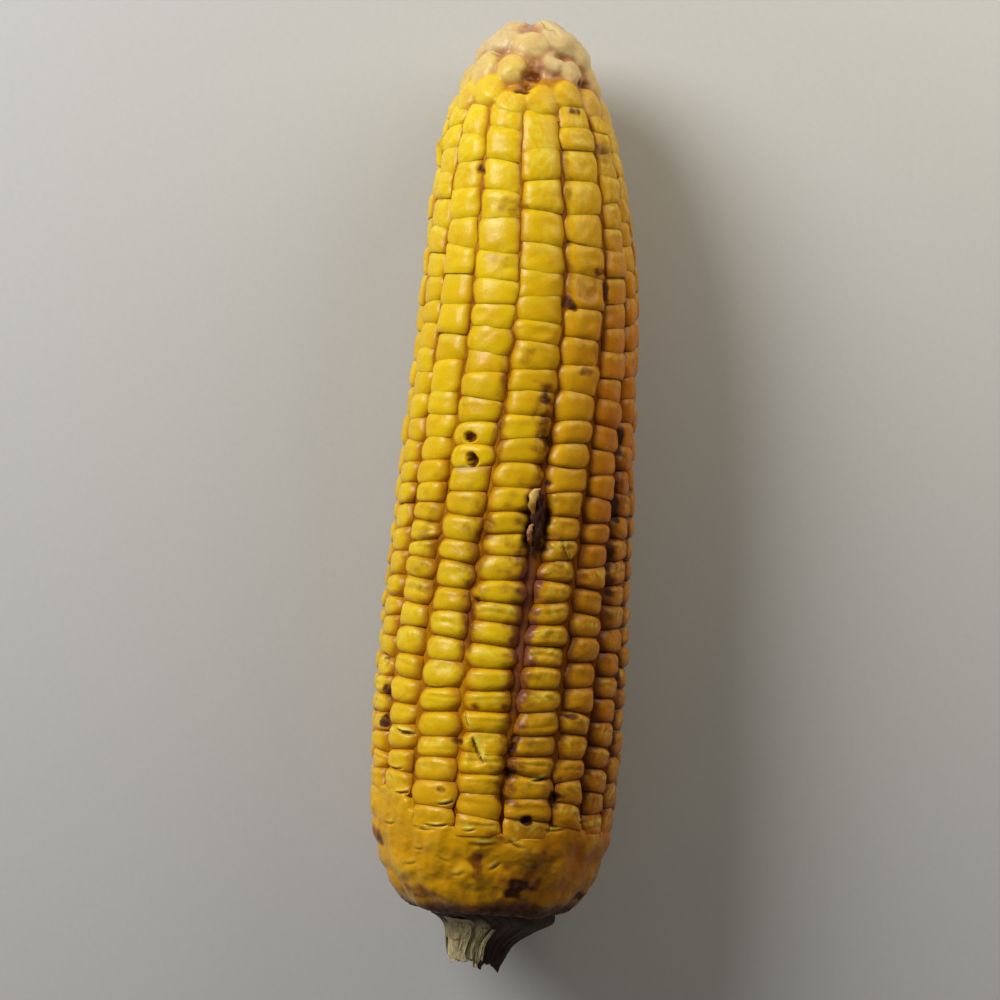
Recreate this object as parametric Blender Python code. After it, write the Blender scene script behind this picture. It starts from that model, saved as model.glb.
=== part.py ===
"""A grilled ear of sweet corn, husked, lying on its side.

Metres, +Z up, +Y from the stem towards the tip. The ear rests on the flattened crowns of two rows of
kernels, and the side that is browned on the grill is up. Two solids: the woody cob, which comes out at the
butt as a short broken stem, and the sleeve of kernels that grows round it.
"""

import math
import random

import bmesh
import bpy
from mathutils import Matrix, Vector

MM = 0.001

# Overall form. Stations run along the ear from the rim of the lowest kernels (0) to the tip.
CROWN_PROFILE = [  # station, radius over the kernels
    (0.0, 16.0), (4.5, 19.3), (9.0, 21.2), (16.0, 23.1), (37.0, 24.0), (60.0, 23.4), (97.0, 21.8), (118.0, 20.6),
    (135.0, 18.8), (146.0, 16.8), (153.0, 14.4), (160.0, 11.4), (164.4, 8.9), (167.2, 5.0), (168.2, 2.0),
]
SIDEWAYS_BOW = [  # station, how far the ear bends to +X
    (-12.0, 0.0), (0.0, 0.3), (40.0, 0.0), (80.0, 0.3), (118.0, 0.4), (135.0, -0.7), (150.0, -1.8),
    (169.0, -2.0),
]

# How it lies: the tip end dips, because the ear tapers, and the lowest crowns are cut flat at the table.
DIP = math.radians(2.3)
AXIS_HEIGHT_AT_RIM = 25.25 * MM
CENTRING = Vector((-0.07 * MM, -78.4 * MM, 0.0))

# Rows of kernels. A bearing is an angle round the ear, 0 at the top and growing towards +X.
GROOVE_STATIONS = (24.0, 58.0, 104.0, 142.0)
UPPER_GROOVES = [  # the bearing of each groove at those stations
    (-85.0, -82.0, -78.0, -79.0), (-63.4, -61.0, -56.5, -53.5), (-41.8, -38.9, -33.5, -30.4),
    (-17.6, -16.9, -7.5, -5.5), (4.6, 10.4, 18.5, 19.8), (28.7, 32.5, 43.3, 48.0), (47.9, 54.3, 65.4, 66.0),
    (65.8, 75.5, 82.0, 86.0),
]
LOWEST_GROOVE = (172.8, 177.4, 183.6, 188.8)
GROOVES_TO_RIGHT_OF_IT = 4
GROOVES_TO_LEFT_OF_IT = 3
ROWS_END = 151.0
UPPER_ROWS = [  # each row's count of full kernels, and the stations of its seams at every sixth of them
    (29, (21.5, 39.0, 57.5, 75.0, 95.5, 118.0, 142.5)), (27, (21.0, 38.0, 61.5, 79.5, 96.5, 118.5, 145.0)),
    (28, (15.5, 37.0, 56.0, 78.0, 100.0, 117.5, 146.0)), (30, (14.5, 34.0, 54.0, 75.0, 97.5, 119.5, 148.0)),
    (28, (14.5, 34.0, 50.5, 70.5, 92.5, 113.5, 143.0)), (28, (17.0, 38.5, 57.0, 78.5, 101.0, 120.0, 143.0)),
    (30, (15.0, 36.5, 58.5, 79.5, 102.0, 126.5, 148.5)),
]
HIDDEN_ROW_KERNELS = (27, 29)
HIDDEN_ROW_SIXTHS = (17.0, 37.0, 56.5, 77.0, 98.5, 120.0, 146.0)
SEAM_JITTER = 0.3
BUTT_KERNEL_LENGTH = 5.2
SHORTEST_LAST_KERNEL = 3.2
LONGEST_LAST_KERNEL = 7.5

# One kernel.
GROOVE_DEPTH = 1.9 * MM
SEAM_DEPTH = 0.8 * MM
SHOULDER_DEPTH = 0.5 * MM
SHOULDER_INSET_ACROSS = 0.95 * MM
SHOULDER_INSET_ALONG = 0.75 * MM
RIDGE_SHARE = 0.5  # of the kernel's width
SHARED_CORNER = 1.1 * MM  # seams of two rows that end closer than this share a corner
HEIGHT_JITTER = 0.22 * MM
DEEP_GROOVES = {4: 1.35, 6: 1.45}  # charred grooves have shrunk

# Round kernels of the tip: station, crown radius, count, bearing of the first, length.
TIP_RINGS = [
    (153.4, 14.5, 13, 8.0, 7.2), (159.2, 12.0, 11, -25.0, 6.6), (163.8, 9.1, 8, -12.0, 6.4),
    (167.0, 4.9, 4, 98.0, 6.4),
]
MISSING_TIP_KERNEL = (1, 1)  # ring, place: the scorched hollow beside the round tip kernel
TIP_DOME = [(155.0, 11.4), (160.0, 8.8), (164.0, 5.8), (165.6, 3.0)]

# Small deep holes burst in kernels: bearing, station, radius.
PITS = [(-24.8, 88.2, 1.15), (-22.2, 84.0, 1.25), (-68.7, 45.4, 1.3)]
PIT_DEPTH = 2.4 * MM

# Kernels that the heat has shrunk: bearing, station, how far the crown has dropped.
SHRUNK = [(2.0, 73.5, 1.0), (3.0, 68.5, 0.6), (31.0, 117.0, 0.5), (-42.0, 141.0, 0.6), (17.0, 22.0, 0.5)]
SHRUNK_WITHIN = 2.6 * MM  # from its middle
PIT_SIDES = 6
PIT_FLOOR_SHARE = 0.6

# The cob and its stem: station, radius, shift to +X.
COB_PROFILE = [
    (-10.6, 4.2, -0.7), (-9.6, 4.8, -0.7), (-6.7, 6.2, -0.1), (-4.6, 8.0, 1.1), (-2.9, 10.1, 2.0),
    (-1.5, 11.8, 1.1), (-0.4, 12.5, 0.3), (4.0, 12.3, 0.0), (60.0, 12.0, 0.0), (120.0, 9.8, 0.0),
    (150.0, 6.8, 0.0),
]
COB_SIDES = 24
COB_CLEARANCE = 0.3 * MM
STEM_RIDGES = 7
STEM_RIDGE_HEIGHT = 0.45 * MM
STEM_BREAK_SLANT = 0.22

SEED = 5
CORN_YELLOW = (0.78, 0.50, 0.045, 1.0)
STRAW = (0.50, 0.44, 0.22, 1.0)


def read_curve(points, station, column=1):
    """The value at a station in metres of a smooth curve through points given as (station in mm, value)."""
    at = station / MM
    rows = [points[0]] + list(points) + [points[-1]]
    for before, low, high, after in zip(rows, rows[1:], rows[2:], rows[3:]):
        if at <= high[0]:
            break
    span = high[0] - low[0]
    share = min(max((at - low[0]) / span, 0.0), 1.0)
    slope_low = (high[column] - before[column]) / (high[0] - before[0]) * span
    slope_high = (after[column] - low[column]) / (after[0] - low[0]) * span
    cubed, squared = share**3, share**2
    return (
        (2 * cubed - 3 * squared + 1) * low[column]
        + (cubed - 2 * squared + share) * slope_low
        + (3 * squared - 2 * cubed) * high[column]
        + (cubed - squared) * slope_high
    )


def between(profile, station):
    """A length in metres, read from a profile in millimetres."""
    return read_curve(profile, station) * MM


def place(bearing, station, radius, sideways=0.0):
    """The point at a bearing in degrees, a station along the ear and a distance from its axis."""
    angle = math.radians(bearing)
    across = between(SIDEWAYS_BOW, station) + sideways + radius * math.sin(angle)
    point = Vector((across, station, radius * math.cos(angle)))
    lying = Matrix.Translation((0, 0, AXIS_HEIGHT_AT_RIM)) @ Matrix.Rotation(-DIP, 4, "X")
    return lying @ point + CENTRING


def mix(first, second, share):
    return tuple(a + (b - a) * share for a, b in zip(first, second))


def all_grooves():
    """Every groove in order round the ear, as its bearings at the groove stations."""
    last, first = UPPER_GROOVES[-1], tuple(bearing + 360 for bearing in UPPER_GROOVES[0])
    to_right, to_left = GROOVES_TO_RIGHT_OF_IT + 1, GROOVES_TO_LEFT_OF_IT + 1
    found = list(UPPER_GROOVES)
    found += [mix(last, LOWEST_GROOVE, n / to_right) for n in range(1, to_right + 1)]
    found += [mix(LOWEST_GROOVE, first, n / to_left) for n in range(1, to_left)]
    return [tuple(zip(GROOVE_STATIONS, bearings)) for bearings in found]


GROOVES = all_grooves()
ROWS = len(GROOVES)


def groove_bearing(groove, station):
    turns, index = divmod(groove, ROWS)
    return read_curve(GROOVES[index], station) + 360 * turns


def row_seams(row, dice):
    """Stations in metres of the seams between one row's kernels, from the rim to the end of the row."""
    if row < len(UPPER_ROWS):
        count, sixths = UPPER_ROWS[row]
    else:
        count, shift = dice.randint(*HIDDEN_ROW_KERNELS), dice.uniform(-2.2, 2.2)
        sixths = [station + shift for station in HIDDEN_ROW_SIXTHS]
    known = list(zip([round(count * n / 6) for n in range(7)], sixths))
    full = []
    for n in range(count + 1):
        (low, start), (high, end) = next(pair for pair in zip(known, known[1:]) if n <= pair[1][0])
        jitter = dice.uniform(-SEAM_JITTER, SEAM_JITTER)
        full.append(start + (end - start) * (n - low) / (high - low) + jitter)
    butt_kernels = round(full[0] / BUTT_KERNEL_LENGTH)
    seams = [full[0] * n / butt_kernels for n in range(butt_kernels)] + full
    if ROWS_END - seams[-1] < SHORTEST_LAST_KERNEL:
        seams.pop()
    elif ROWS_END - seams[-1] > LONGEST_LAST_KERNEL:
        seams.append((seams[-1] + ROWS_END) / 2)
    return [station * MM for station in seams + [ROWS_END]]


def groove_corners(groove, seams):
    """The corners along a groove as [station, {row: seam number}]. Those of two rows that nearly meet are one."""
    ends = sorted((s, row % ROWS, n) for row in (groove - 1, groove) for n, s in enumerate(seams[row % ROWS]))
    corners = []
    for station, row, n in ends:
        near = corners and station - corners[-1][0] < SHARED_CORNER and row not in corners[-1][1]
        if near:
            corners[-1][0] = (corners[-1][0] + station) / 2
            corners[-1][1][row] = n
        else:
            corners.append([station, {row: n}])
    corners[0][0] = 0.0
    corners[-1][0] = ROWS_END * MM
    return corners


def groove_radius(groove, station):
    depth = GROOVE_DEPTH * DEEP_GROOVES.get(groove % ROWS, 1.0)
    butt_share = min(1.0, 0.55 + station / (30 * MM))
    return between(CROWN_PROFILE, station) - depth * butt_share


def shrinkage(bearing, station):
    """How far the crown of the kernel at this place has dropped."""
    for at_bearing, at_station, drop in SHRUNK:
        off = (bearing - at_bearing + 180) % 360 - 180
        if abs(off) < 12 and abs(station - at_station * MM) < SHRUNK_WITHIN:
            return drop * MM
    return 0.0


def join_edges(mesh, outer, inner):
    """Faces between one side of a kernel's outline and the edge of its shoulder beside it."""
    if len(outer) == 2:
        mesh.faces.new((outer[0], outer[1], inner[1], inner[0]))
        return
    turn = len(outer) // 2
    for n in range(len(outer) - 1):
        mesh.faces.new((outer[n], outer[n + 1], inner[0] if n < turn else inner[1]))
    mesh.faces.new((outer[turn], inner[1], inner[0]))


def add_kernel(mesh, row, sides, middles, dice):
    """One kernel, from its corners along the right groove upwards and the left one downwards, and its seams' middles."""
    right, left = sides
    corners = [left[-1], right[0], right[-1], left[0]]
    stations = [corner[1] for corner in corners]
    low, high = (stations[0] + stations[1]) / 2, (stations[2] + stations[3]) / 2
    centre = (low + high) / 2
    crown = between(CROWN_PROFILE, centre) + dice.uniform(-HEIGHT_JITTER, HEIGHT_JITTER)
    left_bearing, right_bearing = groove_bearing(row, centre), groove_bearing(row + 1, centre)
    middle_bearing = (left_bearing + right_bearing) / 2
    crown -= shrinkage(middle_bearing, centre)
    half_angle = (right_bearing - left_bearing) / 2
    inset_angle = math.degrees(SHOULDER_INSET_ACROSS / crown)
    slope = (between(CROWN_PROFILE, high) - between(CROWN_PROFILE, low)) / (high - low)

    def shoulder(side, station_share):
        station = centre + station_share * ((high - low) / 2 - SHOULDER_INSET_ALONG)
        bearing = (groove_bearing(row, station) + groove_bearing(row + 1, station)) / 2
        bearing += side * (half_angle - inset_angle)
        radius = crown + slope * (station - centre) - SHOULDER_DEPTH
        return mesh.verts.new(place(bearing, station, radius))

    ring = [shoulder(-1, -1), shoulder(1, -1), shoulder(1, 1), shoulder(-1, 1)]
    ridge_bearing = half_angle * RIDGE_SHARE
    ridge_station = centre + 0.06 * (high - low)
    ridge_places = [place(middle_bearing + side * ridge_bearing, ridge_station, crown) for side in (-1, 1)]
    ridge = [mesh.verts.new(at) for at in ridge_places]

    lower_middle, upper_middle = middles
    join_edges(mesh, [corners[0][0], lower_middle, corners[1][0]], [ring[0], ring[1]])
    join_edges(mesh, [corner[0] for corner in right], [ring[1], ring[2]])
    join_edges(mesh, [corners[2][0], upper_middle, corners[3][0]], [ring[2], ring[3]])
    join_edges(mesh, [corner[0] for corner in left], [ring[3], ring[0]])
    mesh.faces.new((ring[0], ring[1], ridge[1], ridge[0]))
    mesh.faces.new((ring[1], ring[2], ridge[1]))
    mesh.faces.new((ring[2], ring[3], ridge[0], ridge[1]))
    mesh.faces.new((ring[3], ring[0], ridge[0]))


def seam_middle(mesh, row, station):
    bearing = (groove_bearing(row, station) + groove_bearing(row + 1, station)) / 2
    return mesh.verts.new(place(bearing, station, between(CROWN_PROFILE, station) - SEAM_DEPTH))


def close_end(mesh, ring, profile):
    """Closes an end of the sleeve with rings of its own radii. ring runs round it, seen from outside."""
    for station, radius in profile:
        following = []
        for n, vertex in enumerate(ring):
            bearing = groove_bearing(n // 2, station * MM)
            if n % 2:
                bearing = (bearing + groove_bearing(n // 2 + 1, station * MM)) / 2
            following.append(mesh.verts.new(place(bearing, station * MM, radius * MM)))
        for n in range(len(ring)):
            m = (n + 1) % len(ring)
            corners = (ring[n], ring[m], following[m], following[n])
            mesh.faces.new(corners if station > 0 else corners[::-1])
        ring = following
    mesh.faces.new(ring if profile[0][0] > 0 else ring[::-1])


def kernel_skin(dice):
    """The rows of kernels as one closed body, with a bare dome at the tip."""
    mesh = bmesh.new()
    seams = [row_seams(row, dice) for row in range(ROWS)]
    grooves = [groove_corners(groove, seams) for groove in range(ROWS)]
    vertices = []
    for groove, corners in enumerate(grooves):
        line = []
        for station, _ in corners:
            at = place(groove_bearing(groove, station), station, groove_radius(groove, station))
            line.append((mesh.verts.new(at), station))
        vertices.append(line)
    middles = [[seam_middle(mesh, row, s) for s in seams[row]] for row in range(ROWS)]

    def side_of(groove, row, n):
        numbers = [members.get(row) for _, members in grooves[groove]]
        return vertices[groove][numbers.index(n) : numbers.index(n + 1) + 1]

    for row in range(ROWS):
        for n in range(len(seams[row]) - 1):
            right = side_of((row + 1) % ROWS, row, n)
            left = side_of(row, row, n)[::-1]
            add_kernel(mesh, row, (right, left), middles[row][n : n + 2], dice)
    for end, profile in ((0, [(-0.8, 13.6)]), (-1, TIP_DOME)):
        ring = [v for row in range(ROWS) for v in (vertices[row][end][0], middles[row][end])]
        close_end(mesh, ring, profile)
    bmesh.ops.recalc_face_normals(mesh, faces=mesh.faces)
    return mesh


def add_object(name, mesh, material=None, smooth=True):
    data = bpy.data.meshes.new(name)
    mesh.to_mesh(data)
    mesh.free()
    thing = bpy.data.objects.new(name, data)
    bpy.context.scene.collection.objects.link(thing)
    if material:
        data.materials.append(material)
    if smooth:
        data.shade_smooth()
    return thing


def round_kernel(name, bearing, station, crown, width, length):
    """A plump kernel of the tip: a squat egg whose lower half is sunk in the dome."""
    mesh = bmesh.new()
    bmesh.ops.create_uvsphere(mesh, u_segments=8, v_segments=5, radius=1.0)
    angle = math.radians(bearing)
    outwards = Vector((math.sin(angle), 0, math.cos(angle)))
    slope = (between(CROWN_PROFILE, station) - between(CROWN_PROFILE, station + 4 * MM)) / (4 * MM)
    lean = math.atan(min(slope, 2.5))
    upward = (outwards * math.cos(lean) + Vector((0, 1, 0)) * math.sin(lean)).normalized()
    along = (Vector((0, 1, 0)) * math.cos(lean) - outwards * math.sin(lean)).normalized()
    across = along.cross(upward)
    height = 3.4 * MM
    centre = Vector((0, station, 0)) + outwards * crown - upward * height
    origin = place(0, station, 0)
    lying = Matrix.Rotation(-DIP, 3, "X")
    for vertex in mesh.verts:
        x, y, z = vertex.co
        local = across * x * width / 2 + along * y * length / 2 + upward * z * height
        vertex.co = origin + lying @ (local + centre - Vector((0, station, 0)))
    return add_object(name, mesh, smooth=False)


def tip_kernels(dice):
    """The plump, uneven kernels that close the ear at its tip."""
    made = []
    for ring, (station, crown, count, first, length) in enumerate(TIP_RINGS):
        for n in range(count):
            if (ring, n) == MISSING_TIP_KERNEL:
                continue
            bearing = first + 360 * n / count + dice.uniform(-2.0, 2.0)
            width = 2 * math.pi * crown / count * dice.uniform(1.0, 1.12)
            size = length * dice.uniform(0.95, 1.1)
            at = station + dice.uniform(-0.5, 0.5)
            name = f"tip_kernel_{ring}_{n}"
            made.append(round_kernel(name, bearing, at * MM, crown * MM, max(width, 4.2) * MM, size * MM))
    return made


def pit_cutters():
    """Six-sided punches for the holes burst in kernels."""
    made = []
    for n, (bearing, station, radius) in enumerate(PITS):
        mesh = bmesh.new()
        angle = math.radians(bearing)
        outwards = Matrix.Rotation(-DIP, 3, "X") @ Vector((math.sin(angle), 0, math.cos(angle)))
        floor, mouth = PIT_FLOOR_SHARE * radius * MM, radius * MM
        bmesh.ops.create_cone(
            mesh, cap_ends=True, segments=PIT_SIDES, radius1=floor, radius2=mouth, depth=2 * PIT_DEPTH
        )
        turn = outwards.to_track_quat("Z", "Y").to_matrix().to_4x4()
        at = place(bearing, station * MM, between(CROWN_PROFILE, station * MM))
        mesh.transform(Matrix.Translation(at) @ turn)
        made.append(add_object(f"pit_cutter_{n}", mesh, smooth=False))
    return made


def turned_cob(name, clearance, material=None, ridged=True):
    """The cob with its stem. With a clearance it is the cutter that leaves room for it in the sleeve."""
    mesh = bmesh.new()
    rings = []
    for station, radius, shift in COB_PROFILE:
        stem_share = min(max((-station - 1.0) / 4.0, 0.0), 1.0) if ridged else 0.0
        ring = []
        for n in range(COB_SIDES):
            bearing = 360 * n / COB_SIDES
            ridge = STEM_RIDGE_HEIGHT * math.cos(math.radians(bearing * STEM_RIDGES)) * stem_share
            end_share = min(max((-station - 7.5) / 4.0, 0.0), 1.0)
            slant = STEM_BREAK_SLANT * radius * math.sin(math.radians(bearing)) * end_share
            at = (station - clearance / MM * (station == COB_PROFILE[0][0]) + slant) * MM
            top = clearance if station == COB_PROFILE[-1][0] else 0.0
            ring.append(mesh.verts.new(place(bearing, at + top, radius * MM + clearance + ridge, shift * MM)))
        rings.append(ring)
    for low, high in zip(rings, rings[1:]):
        for n in range(COB_SIDES):
            m = (n + 1) % COB_SIDES
            mesh.faces.new((low[n], low[m], high[m], high[n]))
    mesh.faces.new(rings[0][::-1])
    mesh.faces.new(rings[-1])
    bmesh.ops.recalc_face_normals(mesh, faces=mesh.faces)
    return add_object(name, mesh, material)


def apply_boolean(target, tools, operation):
    """One Boolean of a collection of tools on the target, applied, with the tools then removed."""
    group = bpy.data.collections.new("tools")
    bpy.context.scene.collection.children.link(group)
    for tool in tools:
        bpy.context.scene.collection.objects.unlink(tool)
        group.objects.link(tool)
    modifier = target.modifiers.new("fuse", "BOOLEAN")
    modifier.operation = operation
    modifier.operand_type = "COLLECTION"
    modifier.collection = group
    modifier.solver = "EXACT"
    bpy.context.view_layer.objects.active = target
    bpy.ops.object.modifier_apply(modifier=modifier.name)
    for tool in tools:
        bpy.data.objects.remove(tool)
    bpy.data.collections.remove(group)


def flatten_on_table(thing):
    """Cuts the lowest crowns off at the table, which leaves the flat spots that the ear rests on."""
    mesh = bmesh.new()
    mesh.from_mesh(thing.data)
    everything = list(mesh.verts) + list(mesh.edges) + list(mesh.faces)
    bmesh.ops.bisect_plane(mesh, geom=everything, plane_co=(0, 0, 0), plane_no=(0, 0, -1), clear_outer=True)
    open_edges = [edge for edge in mesh.edges if edge.is_boundary]
    bmesh.ops.holes_fill(mesh, edges=open_edges, sides=0)
    bmesh.ops.recalc_face_normals(mesh, faces=mesh.faces)
    mesh.to_mesh(thing.data)
    mesh.free()


def finish(name, colour, roughness):
    material = bpy.data.materials.new(name)
    material.use_nodes = True
    shader = material.node_tree.nodes["Principled BSDF"]
    shader.inputs["Base Color"].default_value = colour
    shader.inputs["Roughness"].default_value = roughness
    shader.inputs["Metallic"].default_value = 0.0
    material.diffuse_color = colour
    return material


def main():
    for thing in list(bpy.data.objects):
        bpy.data.objects.remove(thing)
    dice = random.Random(SEED)
    kernels = add_object("kernels", kernel_skin(dice), finish("cooked_kernel", CORN_YELLOW, 0.4))
    apply_boolean(kernels, tip_kernels(dice), "UNION")
    room_for_cob = turned_cob("room_for_cob", COB_CLEARANCE, ridged=False)
    apply_boolean(kernels, [room_for_cob] + pit_cutters(), "DIFFERENCE")
    flatten_on_table(kernels)
    kernels.data.shade_smooth()
    kernels.data.set_sharp_from_angle(angle=math.radians(35))
    cob = turned_cob("cob", 0.0, finish("woody_stem", STRAW, 0.8))
    cob.data.set_sharp_from_angle(angle=math.radians(40))


main()
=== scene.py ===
# %% [markdown]
# # A grilled ear of sweet corn
# The ear lies on its side, tip away and browned side up, and the camera looks straight down on it. It is
# built the way an ear grows. A woody cob carries papery chaff, and sixteen rows of kernels stand on the
# chaff, each one a small pillow pressed flat by its neighbours. This first cell loads the imported model,
# whose solids the pieces replace.

# %% Load the frame
import math
import random
from types import SimpleNamespace

import bpy
import numpy as np
from mathutils import Matrix, Vector


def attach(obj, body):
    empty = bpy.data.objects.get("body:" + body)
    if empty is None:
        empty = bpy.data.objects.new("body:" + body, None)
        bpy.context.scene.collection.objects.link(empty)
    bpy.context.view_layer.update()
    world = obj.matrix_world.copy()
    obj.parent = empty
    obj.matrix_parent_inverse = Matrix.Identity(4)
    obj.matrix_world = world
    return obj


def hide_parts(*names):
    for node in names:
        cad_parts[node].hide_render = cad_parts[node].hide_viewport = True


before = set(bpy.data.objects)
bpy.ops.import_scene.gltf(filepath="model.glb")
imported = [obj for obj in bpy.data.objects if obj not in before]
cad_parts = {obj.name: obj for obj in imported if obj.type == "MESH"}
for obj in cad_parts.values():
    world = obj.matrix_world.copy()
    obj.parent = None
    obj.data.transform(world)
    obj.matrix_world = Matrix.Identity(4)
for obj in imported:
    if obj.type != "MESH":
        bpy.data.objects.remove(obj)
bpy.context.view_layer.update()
print("solids:", sorted(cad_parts))

# %% [markdown]
# ## A map of the ear
# Everything on an ear is easiest to say in the ear's own map: a bearing round it in degrees, with 0 at the
# top and growing to the right, a station along it in millimetres from the lowest kernels towards the tip,
# and a radius from its axis. A short list of radii and a slight sideways bow give the whole form. A smooth
# curve through a few chosen points is enough, because a real ear has no corners in its outline.

# %% The form of the ear
CROWN_PROFILE = [  # station, radius over the kernels
    (0.0, 16.0), (4.5, 19.3), (9.0, 21.2), (16.0, 23.1), (37.0, 24.0), (60.0, 23.4), (97.0, 21.8),
    (118.0, 20.6), (135.0, 18.8), (146.0, 16.8), (153.0, 14.4), (160.0, 11.4), (164.4, 8.9), (167.2, 5.0),
    (168.2, 2.0),
]
SIDEWAYS_BOW = [  # station, how far the ear bends to +X
    (-12.0, 0.0), (0.0, 0.3), (40.0, 0.0), (80.0, 0.3), (118.0, 0.4), (135.0, -0.7), (150.0, -1.8),
    (169.0, -2.0),
]
DIP = math.radians(2.3)  # the tip end lies lower, because the ear tapers
AXIS_HEIGHT_AT_RIM = 25.25
CENTRING = (-0.07, -78.4, 0.0)
MM = 0.001


def smooth_curve(points):
    """A function that reads a smooth curve through (station, value) points, for whole arrays at once."""
    at, value = np.array(points, float).T
    slope = np.gradient(value, at)
    slope[1:-1] = (value[2:] - value[:-2]) / (at[2:] - at[:-2])

    def read(station):
        station = np.clip(station, at[0], at[-1])
        n = np.clip(np.searchsorted(at, station, side="right") - 1, 0, len(at) - 2)
        span = at[n + 1] - at[n]
        share = (station - at[n]) / span
        cubed, squared = share**3, share**2
        ends = (2 * cubed - 3 * squared + 1) * value[n] + (3 * squared - 2 * cubed) * value[n + 1]
        return ends + ((cubed - 2 * squared + share) * slope[n] + (cubed - squared) * slope[n + 1]) * span

    return read


crown_radius = smooth_curve(CROWN_PROFILE)
bow = smooth_curve(SIDEWAYS_BOW)


def place(bearing, station, radius, sideways=0.0):
    """Points in the frame, in metres, from their places on the map of the ear."""
    angle = np.radians(bearing)
    x = bow(station) + sideways + radius * np.sin(angle)
    y = station * np.ones_like(x)
    z = radius * np.cos(angle) * np.ones_like(x)
    lying = (
        x + CENTRING[0],
        y * math.cos(DIP) + z * math.sin(DIP) + CENTRING[1],
        z * math.cos(DIP) - y * math.sin(DIP) + AXIS_HEIGHT_AT_RIM + CENTRING[2],
    )
    return np.stack(lying, axis=-1) * MM


print(f"thickest: {2 * crown_radius(37.0):.1f} mm over the kernels")

# %% [markdown]
# ## Where the rows and kernels lie
# Kernels sit in straight double rows that twist slowly round the cob. The grooves between the rows are given
# by their bearings at four stations. In each row the seams between kernels are given at every sixth of the
# row, and the ones between are spread evenly with a little seeded jitter, so that no two rows match.

# %% Grooves and seams
GROOVE_STATIONS = (24.0, 58.0, 104.0, 142.0)
UPPER_GROOVES = [  # the bearing of each groove at those stations
    (-85.0, -82.0, -78.0, -79.0), (-63.4, -61.0, -56.5, -53.5), (-41.8, -38.9, -33.5, -30.4),
    (-17.6, -16.9, -7.5, -5.5), (4.6, 10.4, 18.5, 19.8), (28.7, 32.5, 43.3, 48.0), (47.9, 54.3, 65.4, 66.0),
    (65.8, 75.5, 82.0, 86.0),
]
LOWEST_GROOVE = (172.8, 177.4, 183.6, 188.8)
GROOVES_TO_RIGHT_OF_IT = 4
GROOVES_TO_LEFT_OF_IT = 3
ROWS_END = 151.0
UPPER_ROWS = [  # each row's count of full kernels, and the stations of its seams at every sixth of them
    (29, (21.5, 39.0, 57.5, 75.0, 95.5, 118.0, 142.5)), (27, (21.0, 38.0, 61.5, 79.5, 96.5, 118.5, 145.0)),
    (28, (15.5, 37.0, 56.0, 78.0, 100.0, 117.5, 146.0)), (30, (14.5, 34.0, 54.0, 75.0, 97.5, 119.5, 148.0)),
    (28, (14.5, 34.0, 50.5, 70.5, 92.5, 113.5, 143.0)), (28, (17.0, 38.5, 57.0, 78.5, 101.0, 120.0, 143.0)),
    (30, (15.0, 36.5, 58.5, 79.5, 102.0, 126.5, 148.5)),
]
ZIGZAG = 0.75  # degrees
HIDDEN_ROW_KERNELS = (27, 29)
HIDDEN_ROW_SIXTHS = (17.0, 37.0, 56.5, 77.0, 98.5, 120.0, 146.0)
SEAM_JITTER = 0.3
BUTT_KERNEL_LENGTH = 5.2
SHORTEST_LAST_KERNEL = 3.2
LONGEST_LAST_KERNEL = 7.5
SEED = 5


def all_grooves():
    """One curve for each groove, in order round the ear, that reads its bearing at any station."""
    last, lowest = np.array(UPPER_GROOVES[-1]), np.array(LOWEST_GROOVE)
    first = np.array(UPPER_GROOVES[0]) + 360
    to_right, to_left = GROOVES_TO_RIGHT_OF_IT + 1, GROOVES_TO_LEFT_OF_IT + 1
    found = [np.array(bearings) for bearings in UPPER_GROOVES]
    found += [last + (lowest - last) * n / to_right for n in range(1, to_right + 1)]
    found += [lowest + (first - lowest) * n / to_left for n in range(1, to_left)]
    return [smooth_curve(list(zip(GROOVE_STATIONS, bearings))) for bearings in found]


GROOVES = all_grooves()
ROWS = len(GROOVES)


def groove_bearing(groove, station):
    """The bearing of a groove, with the small zigzag that the ends of the kernels press into it."""
    turns, index = divmod(groove, ROWS)
    zigzag = 0.6 * np.sin(station * 1.13 + 2.4 * index) + 0.4 * np.sin(station * 0.61 + 4.1 * index)
    return GROOVES[index](station) + 360 * turns + zigzag * ZIGZAG


def row_seams(row, dice):
    """How many short kernels a row starts with, and the stations of its seams from the rim to its end."""
    if row < len(UPPER_ROWS):
        count, sixths = UPPER_ROWS[row]
    else:
        count = dice.randint(*HIDDEN_ROW_KERNELS)
        sixths = np.array(HIDDEN_ROW_SIXTHS) + dice.uniform(-2.2, 2.2)
    known = [round(count * n / 6) for n in range(7)]
    full = [np.interp(n, known, sixths) + dice.uniform(-SEAM_JITTER, SEAM_JITTER) for n in range(count + 1)]
    butt_kernels = round(full[0] / BUTT_KERNEL_LENGTH)
    seams = [full[0] * n / butt_kernels for n in range(butt_kernels)] + list(full)
    if ROWS_END - seams[-1] < SHORTEST_LAST_KERNEL:
        seams.pop()
    elif ROWS_END - seams[-1] > LONGEST_LAST_KERNEL:
        seams.append((seams[-1] + ROWS_END) / 2)
    return butt_kernels, seams + [ROWS_END]


seam_dice = random.Random(SEED)
BUTT_KERNELS, SEAMS = zip(*[row_seams(row, seam_dice) for row in range(ROWS)])
print(f"{ROWS} rows, {sum(len(seams) - 1 for seams in SEAMS)} kernels in the rows")

# %% [markdown]
# ## What the fire and the knife left behind
# A cooked ear is never even. Some grooves are brown, one kernel has burst and burnt, a few have holes, and
# the skin of the lower kernels has shrunk. Each mark is given by its place on the map, its half width and
# half length in millimetres, and its strength. The same marks move the surface and tint it, so a burnt
# kernel is both dark and sunken. Slow waves keep every stain from being a neat oval.

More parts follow.
